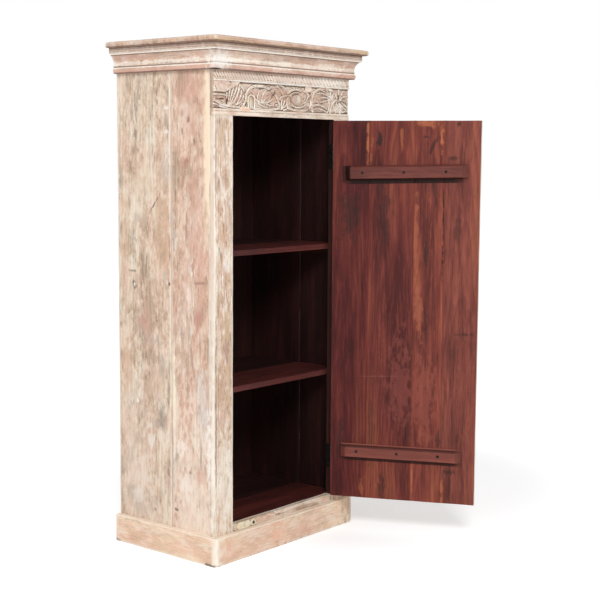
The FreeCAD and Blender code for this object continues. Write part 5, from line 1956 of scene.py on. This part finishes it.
FRAME_EDGE = (
    Spot((-0.304, 0.011, 0.98), (0.006, 0.010, 0.36), (0.72, 0.53, 0.42), 0.7, ragged=0.5),
    Spot((-0.304, 0.003, 1.05), (0.006, 0.0035, 0.40), (0.92, 0.84, 0.74), 0.7, ragged=0.5),
    Spot((-0.304, 0.006, 0.36), (0.006, 0.013, 0.36), (0.91, 0.83, 0.73), 0.6, ragged=1.2),
    Spot((-0.3000, 0.0, 0.43), (0.0034, 0.006, 0.38), (0.22, 0.14, 0.105), 0.85, ragged=0.5),
    Spot((-0.3000, 0.0, 1.16), (0.0034, 0.006, 0.20), (0.34, 0.23, 0.18), 0.7, ragged=0.8),
)
FRIEZE_EDGE = Spot((-0.303, 0.010, 1.350), (0.006, 0.010, 0.075), (0.42, 0.29, 0.22), 0.75,
                   ragged=0.5)
SIDE_REAR_MARKS = (
    (322, 1180, 5, 160, (0.46, 0.27, 0.21), 0.45, 0, 0),
    (262, 1230, 4, 120, (0.46, 0.36, 0.29), 0.4, 0, 1),
    (334, 720, 4, 140, (0.42, 0.30, 0.24), 0.4, 0, 0),
    (228, 640, 4, 130, (0.40, 0.30, 0.25), 0.45, 0, 0),
    (286, 380, 5, 170, (0.42, 0.32, 0.27), 0.4, 0, 1),
    (370, 700, 7, 420, (0.66, 0.47, 0.35), 0.4, 0, 0),
    (200, 1130, 26, 50, (0.55, 0.47, 0.41), 0.5, 0, 0),
    (200, 1020, 12, 70, (0.62, 0.43, 0.29), 0.5, 0, 0),
    (190, 880, 11, 80, (0.62, 0.38, 0.25), 0.6, 0, 0),
    (182, 900, 3, 60, (0.24, 0.16, 0.13), 0.6, 0, 0),
    (201, 820, 10, 26, (0.45, 0.38, 0.34), 0.6, 1, 0),
    (300, 986, 30, 30, (0.52, 0.40, 0.33), 0.5, 1, 0),
    (251, 631, 44, 22, (0.44, 0.36, 0.31), 0.55, 2, 0),
    (294, 688, 26, 60, (0.60, 0.38, 0.31), 0.5, 0, 0),
    (379, 942, 12, 90, (0.64, 0.44, 0.32), 0.5, 0, 0),
    (366, 1029, 16, 26, (0.58, 0.42, 0.28), 0.5, 0, 0),
    (375, 808, 12, 50, (0.56, 0.34, 0.26), 0.5, 0, 0),
    (366, 558, 18, 90, (0.68, 0.46, 0.32), 0.5, 0, 0),
    (355, 353, 18, 50, (0.66, 0.44, 0.33), 0.5, 0, 0),
    (229, 389, 26, 24, (0.38, 0.33, 0.30), 0.5, 2, 0),
    (215, 551, 22, 40, (0.42, 0.35, 0.30), 0.5, 1, 0),
    (262, 338, 20, 40, (0.84, 0.80, 0.74), 0.5, 0, 0),
    (317, 152, 26, 30, (0.78, 0.74, 0.70), 0.5, 0, 0),
    (310, 118, 50, 14, (0.46, 0.32, 0.26), 0.5, 2, 0),
    (244, 146, 14, 26, (0.42, 0.31, 0.26), 0.5, 2, 0),
    (189, 211, 12, 90, (0.52, 0.36, 0.29), 0.5, 0, 0),
    (178, 350, 8, 60, (0.62, 0.44, 0.35), 0.5, 0, 0),
    (340, 300, 5, 60, (0.58, 0.44, 0.36), 0.5, 0, 0),
    (330, 180, 90, 300, (0.78, 0.68, 0.58), 0.35, 0, 0),
    (222, 960, 22, 190, (0.60, 0.40, 0.27), 0.5, 0, 0),
    (365, 900, 22, 260, (0.66, 0.46, 0.33), 0.45, 0, 0),
    (275, 690, 30, 120, (0.58, 0.36, 0.29), 0.4, 0, 0),
    (240, 500, 40, 90, (0.62, 0.44, 0.33), 0.4, 0, 0),
    (295, 1090, 60, 60, (0.72, 0.60, 0.46), 0.45, 0, 0), (229, 1353, 6, 16, KNOT, 0.6, 3, 0),
    (229, 1325, 6, 16, KNOT, 0.6, 3, 0), (302, 1339, 6, 18, KNOT, 0.6, 3, 0),
    (317, 1228, 7, 20, KNOT, 0.5, 2, 0), (197, 1280, 12, 32, (0.33, 0.28, 0.25), 0.5, 0, 0),
    (193, 1307, 10, 9, WHITE_LIME, 0.6, 0, 0), (194, 1239, 10, 9, WHITE_LIME, 0.6, 0, 0),
    (242, 1033, 4.5, 46, (0.19, 0.125, 0.095), 0.8, 0, -38.5),
    (197, 945, 14, 110, (0.62, 0.38, 0.26), 0.5, 0, 0), (328, 796, 11, 18, DARK_KNOT, 0.8, 4, 0),
    (328, 794, 5, 8, WHITE_LIME, 0.9, 0, 0), (336, 832, 22, 4, (0.24, 0.19, 0.15), 0.7, 0, 0),
    (183, 802, 6, 5, DARK_KNOT, 0.85, 0, 0), (293, 684, 16, 32, (0.48, 0.25, 0.18), 0.5, 2, 0),
    (318, 441, 7, 9, WHITE_LIME, 0.8, 0, 0), (210, 406, 22, 38, (0.33, 0.28, 0.25), 0.55, 0, 0),
    (188, 249, 5, 32, (0.24, 0.18, 0.14), 0.6, 0, 0), (246, 121, 9, 12, DARK_KNOT, 0.75, 3, 0),
    (355, 520, 20, 60, (0.60, 0.40, 0.28), 0.4, 0, 0),
)
SCRATCH: Mark = (57, 497, 82, 2.0, (0.24, 0.095, 0.075), 0.45, 0, -3)
SHADE: Colour = (0.014, 0.006, 0.005)
# Shadows of the battens painted on the planks: under each batten and beside its hinge end.
BATTEN_SHADE = (
    (6, 1098.5, 168, 6, SHADE, 0.96, 0, -1.3), (191, 1119, 5, 24, SHADE, 0.75, 0, 0),
    (6, 231, 168, 4.5, SHADE, 0.8, 0, 0), (194, 252, 4, 24, SHADE, 0.5, 0, 0),
)
# On the battens: the first two rows darken the upper batten's face and lighten the lower one's; a
# painted highlight runs along the lower batten's top edge, and the rest is painted shade along
# their edges, on the lower one's top chamfer and on their sloped ends.
BATTEN_MARKS = (
    (0, 1127, 190, 30, (0.085, 0.026, 0.022), 0.4, 0, 0),
    (0, 253, 176, 17, (0.26, 0.076, 0.056), 0.45, 0, 0),
    (4, 278.6, 190, 1.6, (0.36, 0.13, 0.10), 0.6, 0, 0), (2, 1105, 192, 2.6, SHADE, 0.85, 0, -1.3),
    (180, 1124, 11, 34, SHADE, 0.88, 0, 0), (-182, 1126, 8, 30, (0.10, 0.032, 0.026), 0.6, 0, 0),
    (4, 273, 190, 3.6, (0.05, 0.016, 0.013), 0.7, 0, 0), (4, 236, 190, 2.2, SHADE, 0.7, 0, 0),
    (-178, 257, 9, 30, (0.11, 0.034, 0.027), 0.45, 0, 0),
)
PLANK_1_MARKS = (
    (170, 1003, 36, 80, SOOTY, 0.6, 0, 0), (186, 858, 20, 60, SOOTY, 0.0, 5, 0),
    (117, 1216, 5, 70, FLAME, 0.75, 0, 0), SCRATCH, (200, 300, 20, 60, SOOTY, 0.5, 1, 0),
    (125, 140, 9, 36, FLAME, 0.4, 0, 0),
)
PLANK_2_MARKS = (
    (81, 1224, 10, 24, (0.02, 0.015, 0.014), 0.85, 3, 0), (13, 1233, 6, 42, FLAME, 0.45, 0, 0),
    (63, 980, 20, 120, SOOTY, 0.5, 0, 0), (107, 1180, 4, 60, FLAME, 0.4, 0, 5), SCRATCH,
    (40, 560, 26, 90, SOOTY, 0.0, 3, 0), (60, 150, 14, 40, SOOTY, 0.55, 2, 0),
    (10, 480, 44, 170, (0.215, 0.056, 0.044), 0.55, 0, 0), (96, 330, 14, 120, SOOTY, 0.3, 0, 0),
)
PLANK_3_MARKS = (
    (-109, 1230, 8, 46, FLAME, 0.85, 0, 0), (-66, 1272, 34, 12, FLAME, 0.65, 0, 0),
    (-60, 1233, 17, 6, (0.05, 0.020, 0.028), 0.75, 0, 0), (-84, 1205, 6, 34, SOOTY, 0.7, 0, 24),
    (-34, 920, 8, 170, (0.36, 0.115, 0.060), 0.6, 0, 0), (-66, 866, 7, 46, SOOTY, 0.65, 3, 0),
    (-45, 700, 15, 90, (0.34, 0.105, 0.058), 0.6, 0, -4), (-70, 655, 5, 75, SOOTY, 0.5, 2, -5),
    (-117, 960, 2.4, 170, (0.015, 0.008, 0.008), 0.9, 0, 0), (-112, 300, 9, 34, SOOTY, 0.65, 2, 0),
    (-33, 170, 4, 60, FLAME, 0.7, 0, 0), (-66, 430, 44, 160, (0.27, 0.072, 0.052), 0.55, 0, 0),
    SCRATCH, (-88, 1080, 16, 50, SOOTY, 0.4, 3, 0),
)
PLANK_4_MARKS = (
    (-159, 1272, 11, 8, SOOTY, 0.75, 2, 0), (-143, 1169, 22, 8, SOOTY, 0.6, 2, 0),
    (-194, 500, 26, 130, SOOTY, 0.0, 4, 0), (-187, 636, 24, 6, SOOTY, 0.5, 0, 0),
    (-150, 205, 20, 12, SOOTY, 0.6, 2, 0), (-127, 150, 5, 52, FLAME, 0.6, 0, 0),
    (-160, 950, 14, 60, SOOTY, 0.4, 2, 0),
)
PLINTH_MARKS = (
    (-48, 46, 46, 60, (0.82, 0.44, 0.30), 0.7, 0, 0),
    (292, 40, 46, 90, (0.36, 0.24, 0.17), 0.5, 0, 0),
    (-262, 45, 46, 50, (0.78, 0.45, 0.33), 0.7, 0, 0),
    # This row darkens the plinth along its foot; the DARK_KNOT row below darkens its front left
    # foot.
    (20, 3, 330, 5, (0.45, 0.30, 0.23), 0.5, 0, 0),
    (80, 45, 60, 30, (0.80, 0.50, 0.38), 0.5, 0, 0),
    (-170, 24, 40, 16, (0.72, 0.50, 0.36), 0.5, 0, 0), (-316, 3, 22, 6, DARK_KNOT, 0.8, 0, 0),
    (96, 20, 40, 14, (0.68, 0.38, 0.28), 0.5, 0, 0),
    (150, 78, 60, 7, (0.78, 0.44, 0.31), 0.5, 0, 0),
)
PLINTH_CORNERS = (
    Spot((-0.3155, -0.0145, 0.045), (0.006, 0.006, 0.07), (0.90, 0.81, 0.71), 0.8,
         ragged=0.6),
    # Dark at the rear left foot.
    Spot((-0.322, 0.398, 0.003), (0.03, 0.022, 0.010), (0.26, 0.21, 0.18), 0.8, ragged=0.4),
    Spot((-0.31, -0.02, 0.0815), (0.9, 0.9, 0.0022), (0.90, 0.80, 0.68), 0.7, ragged=0.5),
)
THRESHOLD_MARKS = (
    (90, 93, 84, 6, (0.40, 0.29, 0.22), 0.75, 0, -1.5),
    (100, 87, 92, 2.2, (0.20, 0.13, 0.09), 0.7, 0, -1.5),
    (-28, 93, 18, 5, (0.24, 0.16, 0.12), 0.7, 0, 0), (-40, 104, 5, 4, WHITE_LIME, 0.95, 0, 0),
    # The turn button's shadow, painted on the threshold below it.
    (-206, 87.5, 13, 3.2, (0.10, 0.07, 0.05), 0.9, 0, 0),
)
# Shadows painted in the carving's cuts and under its leaves.
CUT: Colour = (0.10, 0.06, 0.045)
FRIEZE_CUTS = (
    (-276, 1330, 28, 3.6, CUT, 1.0, 0, 3), (-253, 1324, 4.5, 12, CUT, 1.0, 0, -12),
    (-173, 1319, 6, 5, CUT, 0.95, 0, 0), (-52, 1352, 4.5, 22, CUT, 0.85, 0, -38),
    (-69, 1363, 16, 3.2, CUT, 0.7, 0, 20), (-110, 1365, 24, 3.0, CUT, 0.8, 0, 0),
    (-179, 1352, 4, 14, CUT, 0.7, 0, -30), (112, 1348, 4.5, 18, CUT, 0.8, 0, -12),
    (106, 1315, 16, 7, (0.40, 0.25, 0.19), 0.8, 0, -50), (250, 1352, 4.5, 14, CUT, 0.7, 0, -30),
    (263, 1341, 20, 3.2, CUT, 0.7, 0, 12), (26, 1334, 4, 10, CUT, 0.6, 0, 0),
    (-58, 1315, 16, 4, (0.40, 0.25, 0.19), 0.7, 0, 10),
    (142, 1317, 26, 11, (0.40, 0.25, 0.19), 0.55, 0, 0),
    (187, 1372, 5, 14, (0.40, 0.25, 0.19), 0.7, 0, 20), (-295, 1310, 16, 3.4, CUT, 0.7, 0, 12),
    (229, 1371, 10, 14, (0.40, 0.25, 0.19), 0.5, 0, -20),
    (-197, 1374, 14, 3.0, (0.40, 0.25, 0.19), 0.7, 0, 0),
    (-42, 1317, 16, 5, (0.34, 0.22, 0.17), 0.6, 0, 20),
    (-300, 1310, 8, 9, (0.30, 0.19, 0.14), 0.6, 0, 0),
    (101, 1310, 26, 5, (0.36, 0.25, 0.19), 0.5, 0, -10),
)
FRIEZE_MARKS = (
    (-278, 1375, 34, 7, (0.60, 0.37, 0.31), 0.5, 0, 0),
    (-88, 1341, 20, 14, (0.60, 0.37, 0.31), 0.45, 0, 0),
    (-1, 1363, 10, 8, (0.60, 0.37, 0.31), 0.6, 0, 0),
    (-125, 1356, 20, 7, (0.60, 0.37, 0.31), 0.5, 0, 0),
    (-201, 1332, 14, 10, (0.60, 0.37, 0.31), 0.45, 0, 0),
    (74, 1332, 12, 16, (0.50, 0.35, 0.27), 0.5, 0, 0),
    (-154, 1333, 16, 14, (0.66, 0.54, 0.36), 0.5, 0, 0),
    (58, 1339, 14, 14, (0.80, 0.74, 0.62), 0.6, 0, 0),
    (-274, 1312, 40, 7, (0.88, 0.83, 0.76), 0.55, 0, 0),
    (-103, 1326, 34, 10, (0.78, 0.74, 0.66), 0.5, 0, 0),
    (255, 1318, 30, 18, (0.84, 0.80, 0.74), 0.45, 0, 0),
    (212, 1352, 24, 18, (0.76, 0.72, 0.68), 0.4, 0, 0),
    (-178, 1303, 26, 9, (0.74, 0.40, 0.24), 0.65, 0, 0),
    (-250, 1368, 40, 10, (0.60, 0.40, 0.32), 0.5, 0, 0),
    (-95, 1335, 26, 20, (0.52, 0.34, 0.28), 0.35, 0, 0),
    (135, 1338, 16, 22, (0.56, 0.36, 0.28), 0.45, 0, 0),
    (60, 1303, 40, 6, (0.66, 0.44, 0.30), 0.45, 0, 0),
    (-210, 1398, 60, 9, (0.60, 0.42, 0.35), 0.35, 0, 0),
    (190, 1396, 170, 14, (0.88, 0.83, 0.75), 0.5, 0, 0),
    (-190, 1396, 130, 14, (0.70, 0.57, 0.49), 0.5, 0, 0),
    (0, 1396, 90, 14, (0.80, 0.70, 0.62), 0.5, 0, 0),
    (0, 1382.3, 700, 2.6, WHITE_LIME, 0.75, 0, 0),
)
# Colours of the cornice's bands: dark stripes and painted shade lines, pale bands and painted
# highlights, and a brown tone.
DARK_LINE: Colour = (0.24, 0.15, 0.115)
PALE_LINE: Colour = (0.93, 0.88, 0.80)
BROWN_BAND: Colour = (0.50, 0.33, 0.25)
# Bands round the cornice: brown tones and dark stripes in the fascia, a pale band in the hollow,
# painted shade lines under the cap, in the quirk, under the top board and along the foot, and
# painted highlights on the arrises of the cap and the lower band.
CORNICE_LEVELS = levels((
    (1475, 8.5, BROWN_BAND, 0.55, 1.0), (1471.5, 1.5, DARK_LINE, 0.6, 0.7),
    (1477.5, 1.5, DARK_LINE, 0.6, 0.7), (1455, 9.0, (0.58, 0.39, 0.32), 0.5, 1.2),
    (1417, 8.0, (0.62, 0.36, 0.29), 0.6, 0.8), (1438, 7.0, PALE_LINE, 0.5, 1.0),
    (1465.5, 1.9, PALE_LINE, 0.9, 0.4), (1462.2, 1.6, DARK_LINE, 0.75, 0.5),
    (1429.5, 2.0, DARK_LINE, 0.85, 0.4), (1425.5, 2.2, PALE_LINE, 0.8, 0.4),
    (1481.8, 2.2, DARK_LINE, 0.85, 0.3), (1411.4, 2.4, (0.20, 0.10, 0.075), 0.85, 0.4),
))
# At the left front corner: a pale patch, and the painted shade line along the cornice's foot.
CORNICE_CORNER = (
    Spot((-0.295, -0.02, 1.43), (0.05, 0.05, 0.045), WHITE_LIME, 0.6, ragged=0.8),
    Spot((-0.311, -0.010, 1.4105), (0.030, 0.030, 0.0035), (0.035, 0.02, 0.014), 0.95,
         ragged=0.3),
)
# A painted shade line under the top boards' nose, and a paler band above it.
TOP_LEVELS = levels(((1484.5, 3.2, (0.17, 0.10, 0.075), 0.7, 0.5),
                     (1496, 3.0, (0.72, 0.58, 0.47), 0.4, 1.0)))
STILE_MARKS = (
    (-262, 1195, 5, 60, (0.34, 0.22, 0.17), 0.5, 0, 0),
    (-250, 1000, 16, 70, (0.60, 0.50, 0.46), 0.4, 0, 0),
    (-285, 905, 5, 30, (0.24, 0.17, 0.13), 0.6, 0, 20),
    (-255, 860, 12, 30, WHITE_LIME, 0.5, 0, 14),
    (-262, 620, 16, 50, (0.56, 0.34, 0.26), 0.5, 0, 0),
    (-268, 430, 18, 50, (0.55, 0.32, 0.24), 0.45, 0, 0),
    (-250, 300, 14, 50, WHITE_LIME, 0.5, 0, 0),
    (-268, 240, 60, 190, (0.92, 0.83, 0.71), 0.5, 0, 0),
    (-290, 760, 1.6, 560, (0.34, 0.22, 0.17), 0.55, 0, 0),
    (-240, 1180, 10, 120, (0.90, 0.82, 0.72), 0.5, 0, 0),
)


def door_spots(rows: Sequence[Mark]) -> tuple[Spot, ...]:
    """A plank's own marks, and the battens' shadows painted along them."""
    return (*marks(Face.DOOR, rows), *marks(Face.DOOR, BATTEN_SHADE, 0.06, BoxEffect))


class Finishes:
    """Every material of the cabinet, made once."""

    def __init__(self) -> None:
        """Build the materials."""
        self.make_limewashed()
        self.make_stained()
        self.make_metals()

    def make_limewashed(self) -> None:
        """Make the pale finishes of the outside."""
        self.side_front = Limewash("side_front_limewash", blush_share=0.85, grey_share=0.7,
                                   lime_share=0.4, bare_share=0.55, ring_pitch=0.012,
                                   bump=0.4, cream=(0.77, 0.59, 0.465), cloud_share=0.6,
                                   draw=1.2,
                                   spots=(*marks(Face.SIDE, SIDE_FRONT_MARKS),
                                          *marks(Face.SIDE, SIDE_EDGE_MARKS, 0.35))).material()
        self.side_rear = Limewash("side_rear_limewash", blush_share=0.45, grey_share=0.85,
                                  tan_share=0.7, lime_share=0.38, bare_share=0.55,
                                  bump=0.4, cloud_share=0.8, draw=1.2, cream=(0.76, 0.62, 0.48),
                                  ring_pitch=0.014,
                                  spots=(*marks(Face.SIDE, SIDE_REAR_MARKS),
                                         *marks(Face.SIDE, SIDE_REAR_EDGE, 0.35))).material()
        self.back = Limewash("back_limewash", blush_share=0.4, grey_share=0.9, lime_share=0.3,
                             bare_share=0.6, cloud_share=0.2).material()
        self.stile = Limewash("stile_limewash", blush_share=0.5, grey_share=0.8,
                              tan_share=0.55, lime_share=0.75, bare_share=0.85,
                              ring_pitch=0.007,
                              spots=marks(Face.FRONT, STILE_MARKS) + FRAME_EDGE).material()
        self.threshold = Limewash("threshold_limewash", blush_share=0.4, grey_share=0.7,
                                  lime_share=0.5, bare_share=0.8,
                                  spots=marks(Face.FRONT, THRESHOLD_MARKS, 0.2)).material()
        self.plinth = Limewash("plinth_limewash", cream=(0.84, 0.65, 0.47),
                               blush=(0.79, 0.50, 0.37), blush_share=0.55, grey_share=0.25,
                               tan_share=0.3, lime_share=0.4, bare_share=0.3,
                               cloud_share=0.15,
                               spots=(*marks(Face.FRONT, PLINTH_MARKS),
                                      *PLINTH_CORNERS)).material()
        self.cornice = Limewash("cornice_limewash", blush_share=0.85, grey_share=0.7,
                                tan_share=0.5, lime_share=0.6, bare_share=0.6,
                                spots=CORNICE_LEVELS + CORNICE_CORNER).material()
        self.top = Limewash("top_limewash", cream=(0.66, 0.47, 0.37),
                            blush=(0.50, 0.28, 0.21), blush_share=0.85, grey_share=0.85,
                            lime_share=0.3, bare_share=0.95, ring_pitch=0.019, bump=0.4,
                            spots=TOP_LEVELS).material()
        self.frieze = CarvedLimewash("frieze_limewash", cream=(0.84, 0.72, 0.60),
                                     blush_share=0.5, grey_share=0.5,
                                     lime_share=0.55, bare_share=0.4,
                                     spots=(*marks(Face.FRONT, FRIEZE_MARKS),
                                            *marks(Face.FRONT, FRIEZE_CUTS, 0.5),
                                            FRIEZE_EDGE)).material()
        self.door_outside = Limewash("door_limewash", blush_share=0.6, grey_share=0.6,
                                     lime_share=0.5).material()

    def make_stained(self) -> None:
        """Make the red-brown finishes of the inside and the door; the inside's, the jambs' and the
        shelf fronts' stains are darkened as painted shade, the jambs and shelf fronts less.
        """
        # Painted shade: the inside's stained wood is darkened to stand for the shade in the
        # cabinet; the jambs and the shelf fronts are darkened less.
        self.inside = Stain("inside_stain", deep=(0.014, 0.005, 0.0045),
                            middle=(0.027, 0.0085, 0.0075), light=(0.052, 0.014, 0.012),
                            ember=(0.065, 0.02, 0.013), soot=(0.006, 0.004, 0.004),
                            ember_share=0.3).material()
        self.jamb = Stain("jamb_stain", deep=(0.025, 0.011, 0.009),
                          middle=(0.040, 0.015, 0.012), light=(0.062, 0.020, 0.016),
                          ember=(0.08, 0.028, 0.018), soot=(0.012, 0.007, 0.006),
                          ember_share=0.3).material()
        self.shelf_front = Stain("shelf_stain", deep=(0.042, 0.010, 0.009),
                                 middle=(0.085, 0.017, 0.014), light=(0.15, 0.031, 0.025),
                                 ember=(0.14, 0.04, 0.025),
                                 soot=(0.012, 0.006, 0.005)).material()
        planks = (
            Stain("door_stain_1", deep=(0.043, 0.0085, 0.0088), middle=(0.112, 0.0205, 0.0185),
                  light=(0.195, 0.040, 0.033), ring_pitch=0.009, ring_share=0.4,
                  ember_share=0.2, pith=0.02, slope=0.05,
                  spots=door_spots(PLANK_1_MARKS), specular=0.1),
            Stain("door_stain_2", deep=(0.068, 0.0150, 0.0138), middle=(0.158, 0.034, 0.027),
                  light=(0.27, 0.062, 0.045), ring_pitch=0.009, ring_share=0.4,
                  ember_share=0.3, pith=-0.03, slope=0.04,
                  spots=door_spots(PLANK_2_MARKS), specular=0.1),
            Stain("door_stain_3", deep=(0.100, 0.0230, 0.019), middle=(0.215, 0.050, 0.037),
                  light=(0.32, 0.084, 0.050), ring_share=0.35,
                  ember_share=0.5, pith=0.01, slope=0.07,
                  spots=door_spots(PLANK_3_MARKS), specular=0.1),
            Stain("door_stain_4", deep=(0.098, 0.026, 0.021), middle=(0.222, 0.060, 0.045),
                  light=(0.30, 0.088, 0.056), ring_share=0.35,
                  ember_share=0.3, pith=0.0, slope=0.05,
                  spots=door_spots(PLANK_4_MARKS), specular=0.1),
        )
        self.door_planks = [plank.material() for plank in planks]
        self.batten = Stain("batten_stain", deep=(0.105, 0.030, 0.024),
                            middle=(0.185, 0.053, 0.041), light=(0.33, 0.102, 0.076),
                            ember_share=0.3, soot_share=0.25, ring_share=0.2,
                            ring_pitch=0.006, specular=0.12,
                            spots=marks(Face.DOOR, BATTEN_MARKS, 0.06, BoxEffect)).material()

    def make_metals(self) -> None:
        """Make the finishes of the hinges, the screws and the turn button."""
        self.iron = Metal("black_iron", (0.040, 0.032, 0.029), (0.012, 0.010, 0.009),
                          roughness=0.45).material()
        self.screw = Metal("dark_steel", (0.012, 0.008, 0.007), (0.006, 0.005, 0.005),
                           roughness=0.75, metallic=0.2).material()
        self.button = Metal("limed_brass", (0.72, 0.60, 0.38), (0.80, 0.73, 0.58),
                            roughness=0.55, metallic=0.2).material()
        self.button_screw = Metal("dull_screw", (0.10, 0.085, 0.06), (0.05, 0.04, 0.03),
                                  roughness=0.55, metallic=0.6).material()


@dataclass
class Studio:
    """Pale floor, soft lamps, white surroundings and the photograph's view."""

    floor_half: float = 30.0
    floor_colour: Colour = (0.86, 0.86, 0.87)
    floor_lift: tuple[float, float] = (0.26, 0.55)
    floor_lift_reach: tuple[float, float] = (0.5, 1.15)
    shade_middle: Vector = field(default_factory=lambda: Vector((0.75, 0.25, 0.0)))
    world_level: float = 0.62
    aim: Vector = field(default_factory=lambda: Vector((0.0, 0.1, 0.75)))
    key_place: Vector = field(default_factory=lambda: Vector((-2.6, -3.0, 3.2)))
    key_size: float = 1.2
    key_power: float = 118.0
    fill_place: Vector = field(default_factory=lambda: Vector((-4.2, -0.6, 0.9)))
    fill_size: float = 2.2
    fill_power: float = 26.0
    floor_roughness: float = 0.9
    floor_specular: float = 0.1
    far: float = 200.0
    view_place: Vector = field(default_factory=lambda: Vector((-2.92568, -2.48102, 1.17138)))
    view_yaw: float = math.radians(50.374)
    view_pitch: float = math.radians(-6.348)
    view_roll: float = math.radians(0.36)
    image_pixels: float = 600.0
    focal_pixels: float = 1289.21
    sensor: float = 36.0

    def white_for_looks(self, graph: Graph) -> Socket:
        """1 for what the camera sees straight, in a reflection or through glass."""
        path = graph.add("LightPath")
        seen = graph.math("ADD", path.outputs["Is Camera Ray"], path.outputs["Is Glossy Ray"])
        return graph.math("ADD", seen, path.outputs["Is Transmission Ray"], clamp=True)

    def build_world(self) -> None:
        """White for the camera, and a plain level for the light."""
        world = bpy.data.worlds.new("white_surroundings")
        bpy.context.scene.world = world
        world.use_nodes = True
        graph = Graph(world.node_tree)
        background = world.node_tree.nodes["Background"]
        seen = self.white_for_looks(graph)
        level = graph.add("MapRange")
        for index, value in enumerate((seen, 0.0, 1.0, self.world_level, 1.0)):
            graph.feed(level.inputs[index], value)
        background.inputs["Color"].default_value = (1.0, 1.0, 1.0, 1.0)
        graph.feed(background.inputs["Strength"], level.outputs[0])

    def build_floor(self) -> None:
        """A pale floor that looks white except where the cabinet shades it."""
        mesh = bmesh.new()
        bmesh.ops.create_grid(mesh, x_segments=1, y_segments=1, size=self.floor_half)
        made = bpy.data.meshes.new("floor")
        mesh.to_mesh(made)
        mesh.free()
        floor = bpy.data.objects.new("floor", made)
        bpy.context.scene.collection.objects.link(floor)
        material = bpy.data.materials.new("pale_floor")
        material.use_nodes = True
        graph = Graph(material.node_tree)
        shader = material.node_tree.nodes["Principled BSDF"]
        shader.inputs["Base Color"].default_value = (*self.floor_colour, 1.0)
        shader.inputs["Roughness"].default_value = self.floor_roughness
        shader.inputs["Specular IOR Level"].default_value = self.floor_specular
        shader.inputs["Emission Color"].default_value = (1.0, 1.0, 1.0, 1.0)
        away = graph.vector("DISTANCE", graph.add("TexCoord").outputs["Object"],
                            self.shade_middle)
        lift = graph.remap(away, *self.floor_lift_reach, *self.floor_lift)
        lift = graph.math("MULTIPLY", self.white_for_looks(graph), lift)
        graph.feed(shader.inputs["Emission Strength"], lift)
        made.materials.append(material)

    def lamp(self, name: str, place: Vector, target: Vector, size: float,
             power: float) -> None:
        """A soft square lamp.

        Args:
            name: Name of the lamp.
            place: Where it stands.
            target: What it points at.
            size: Length of its side.
            power: Its power in watts.
        """
        light = bpy.data.lights.new(name, "AREA")
        light.size = size
        light.energy = power
        lamp = bpy.data.objects.new(name, light)
        bpy.context.scene.collection.objects.link(lamp)
        lamp.location = place
        lamp.rotation_mode = "QUATERNION"
        lamp.rotation_quaternion = (target - place).to_track_quat("-Z", "Y")

    def build_camera(self) -> None:
        """The camera at the photograph's place, angle and focal length."""
        yaw, pitch, roll = self.view_yaw, self.view_pitch, self.view_roll
        ahead = Vector((math.sin(yaw) * math.cos(pitch), math.cos(yaw) * math.cos(pitch),
                        math.sin(pitch)))
        right = ahead.cross(Vector((0.0, 0.0, 1.0))).normalized()
        up = right.cross(ahead)
        across = right * math.cos(roll) + up * math.sin(roll)
        upward = up * math.cos(roll) - right * math.sin(roll)
        data = bpy.data.cameras.new("camera")
        data.sensor_width = self.sensor
        data.lens = self.focal_pixels / self.image_pixels * self.sensor
        data.clip_end = self.far
        camera = bpy.data.objects.new("camera", data)
        bpy.context.scene.collection.objects.link(camera)
        turn = Matrix((across, upward, -ahead)).transposed().to_4x4()
        camera.matrix_world = Matrix.Translation(self.view_place) @ turn
        bpy.context.scene.camera = camera

    def build(self) -> None:
        """Set up the whole studio."""
        self.build_world()
        self.build_floor()
        self.lamp("key", self.key_place, self.aim, self.key_size, self.key_power)
        self.lamp("fill", self.fill_place, self.aim, self.fill_size, self.fill_power)
        self.build_camera()
        bpy.context.scene.view_settings.view_transform = "Standard"


def main() -> None:
    """Build the cabinet's looks and report each piece."""
    logging.basicConfig(level=logging.INFO, format="%(name)s %(message)s")
    finishes = Finishes()
    Carcass().build(finishes)
    Cornice().build(finishes)
    Frieze().build(finishes.frieze)
    Shelves().build(finishes)
    Door().build(finishes)
    Ironwork().build(finishes)
    Studio().build()


if __name__ == "__main__":
    main()
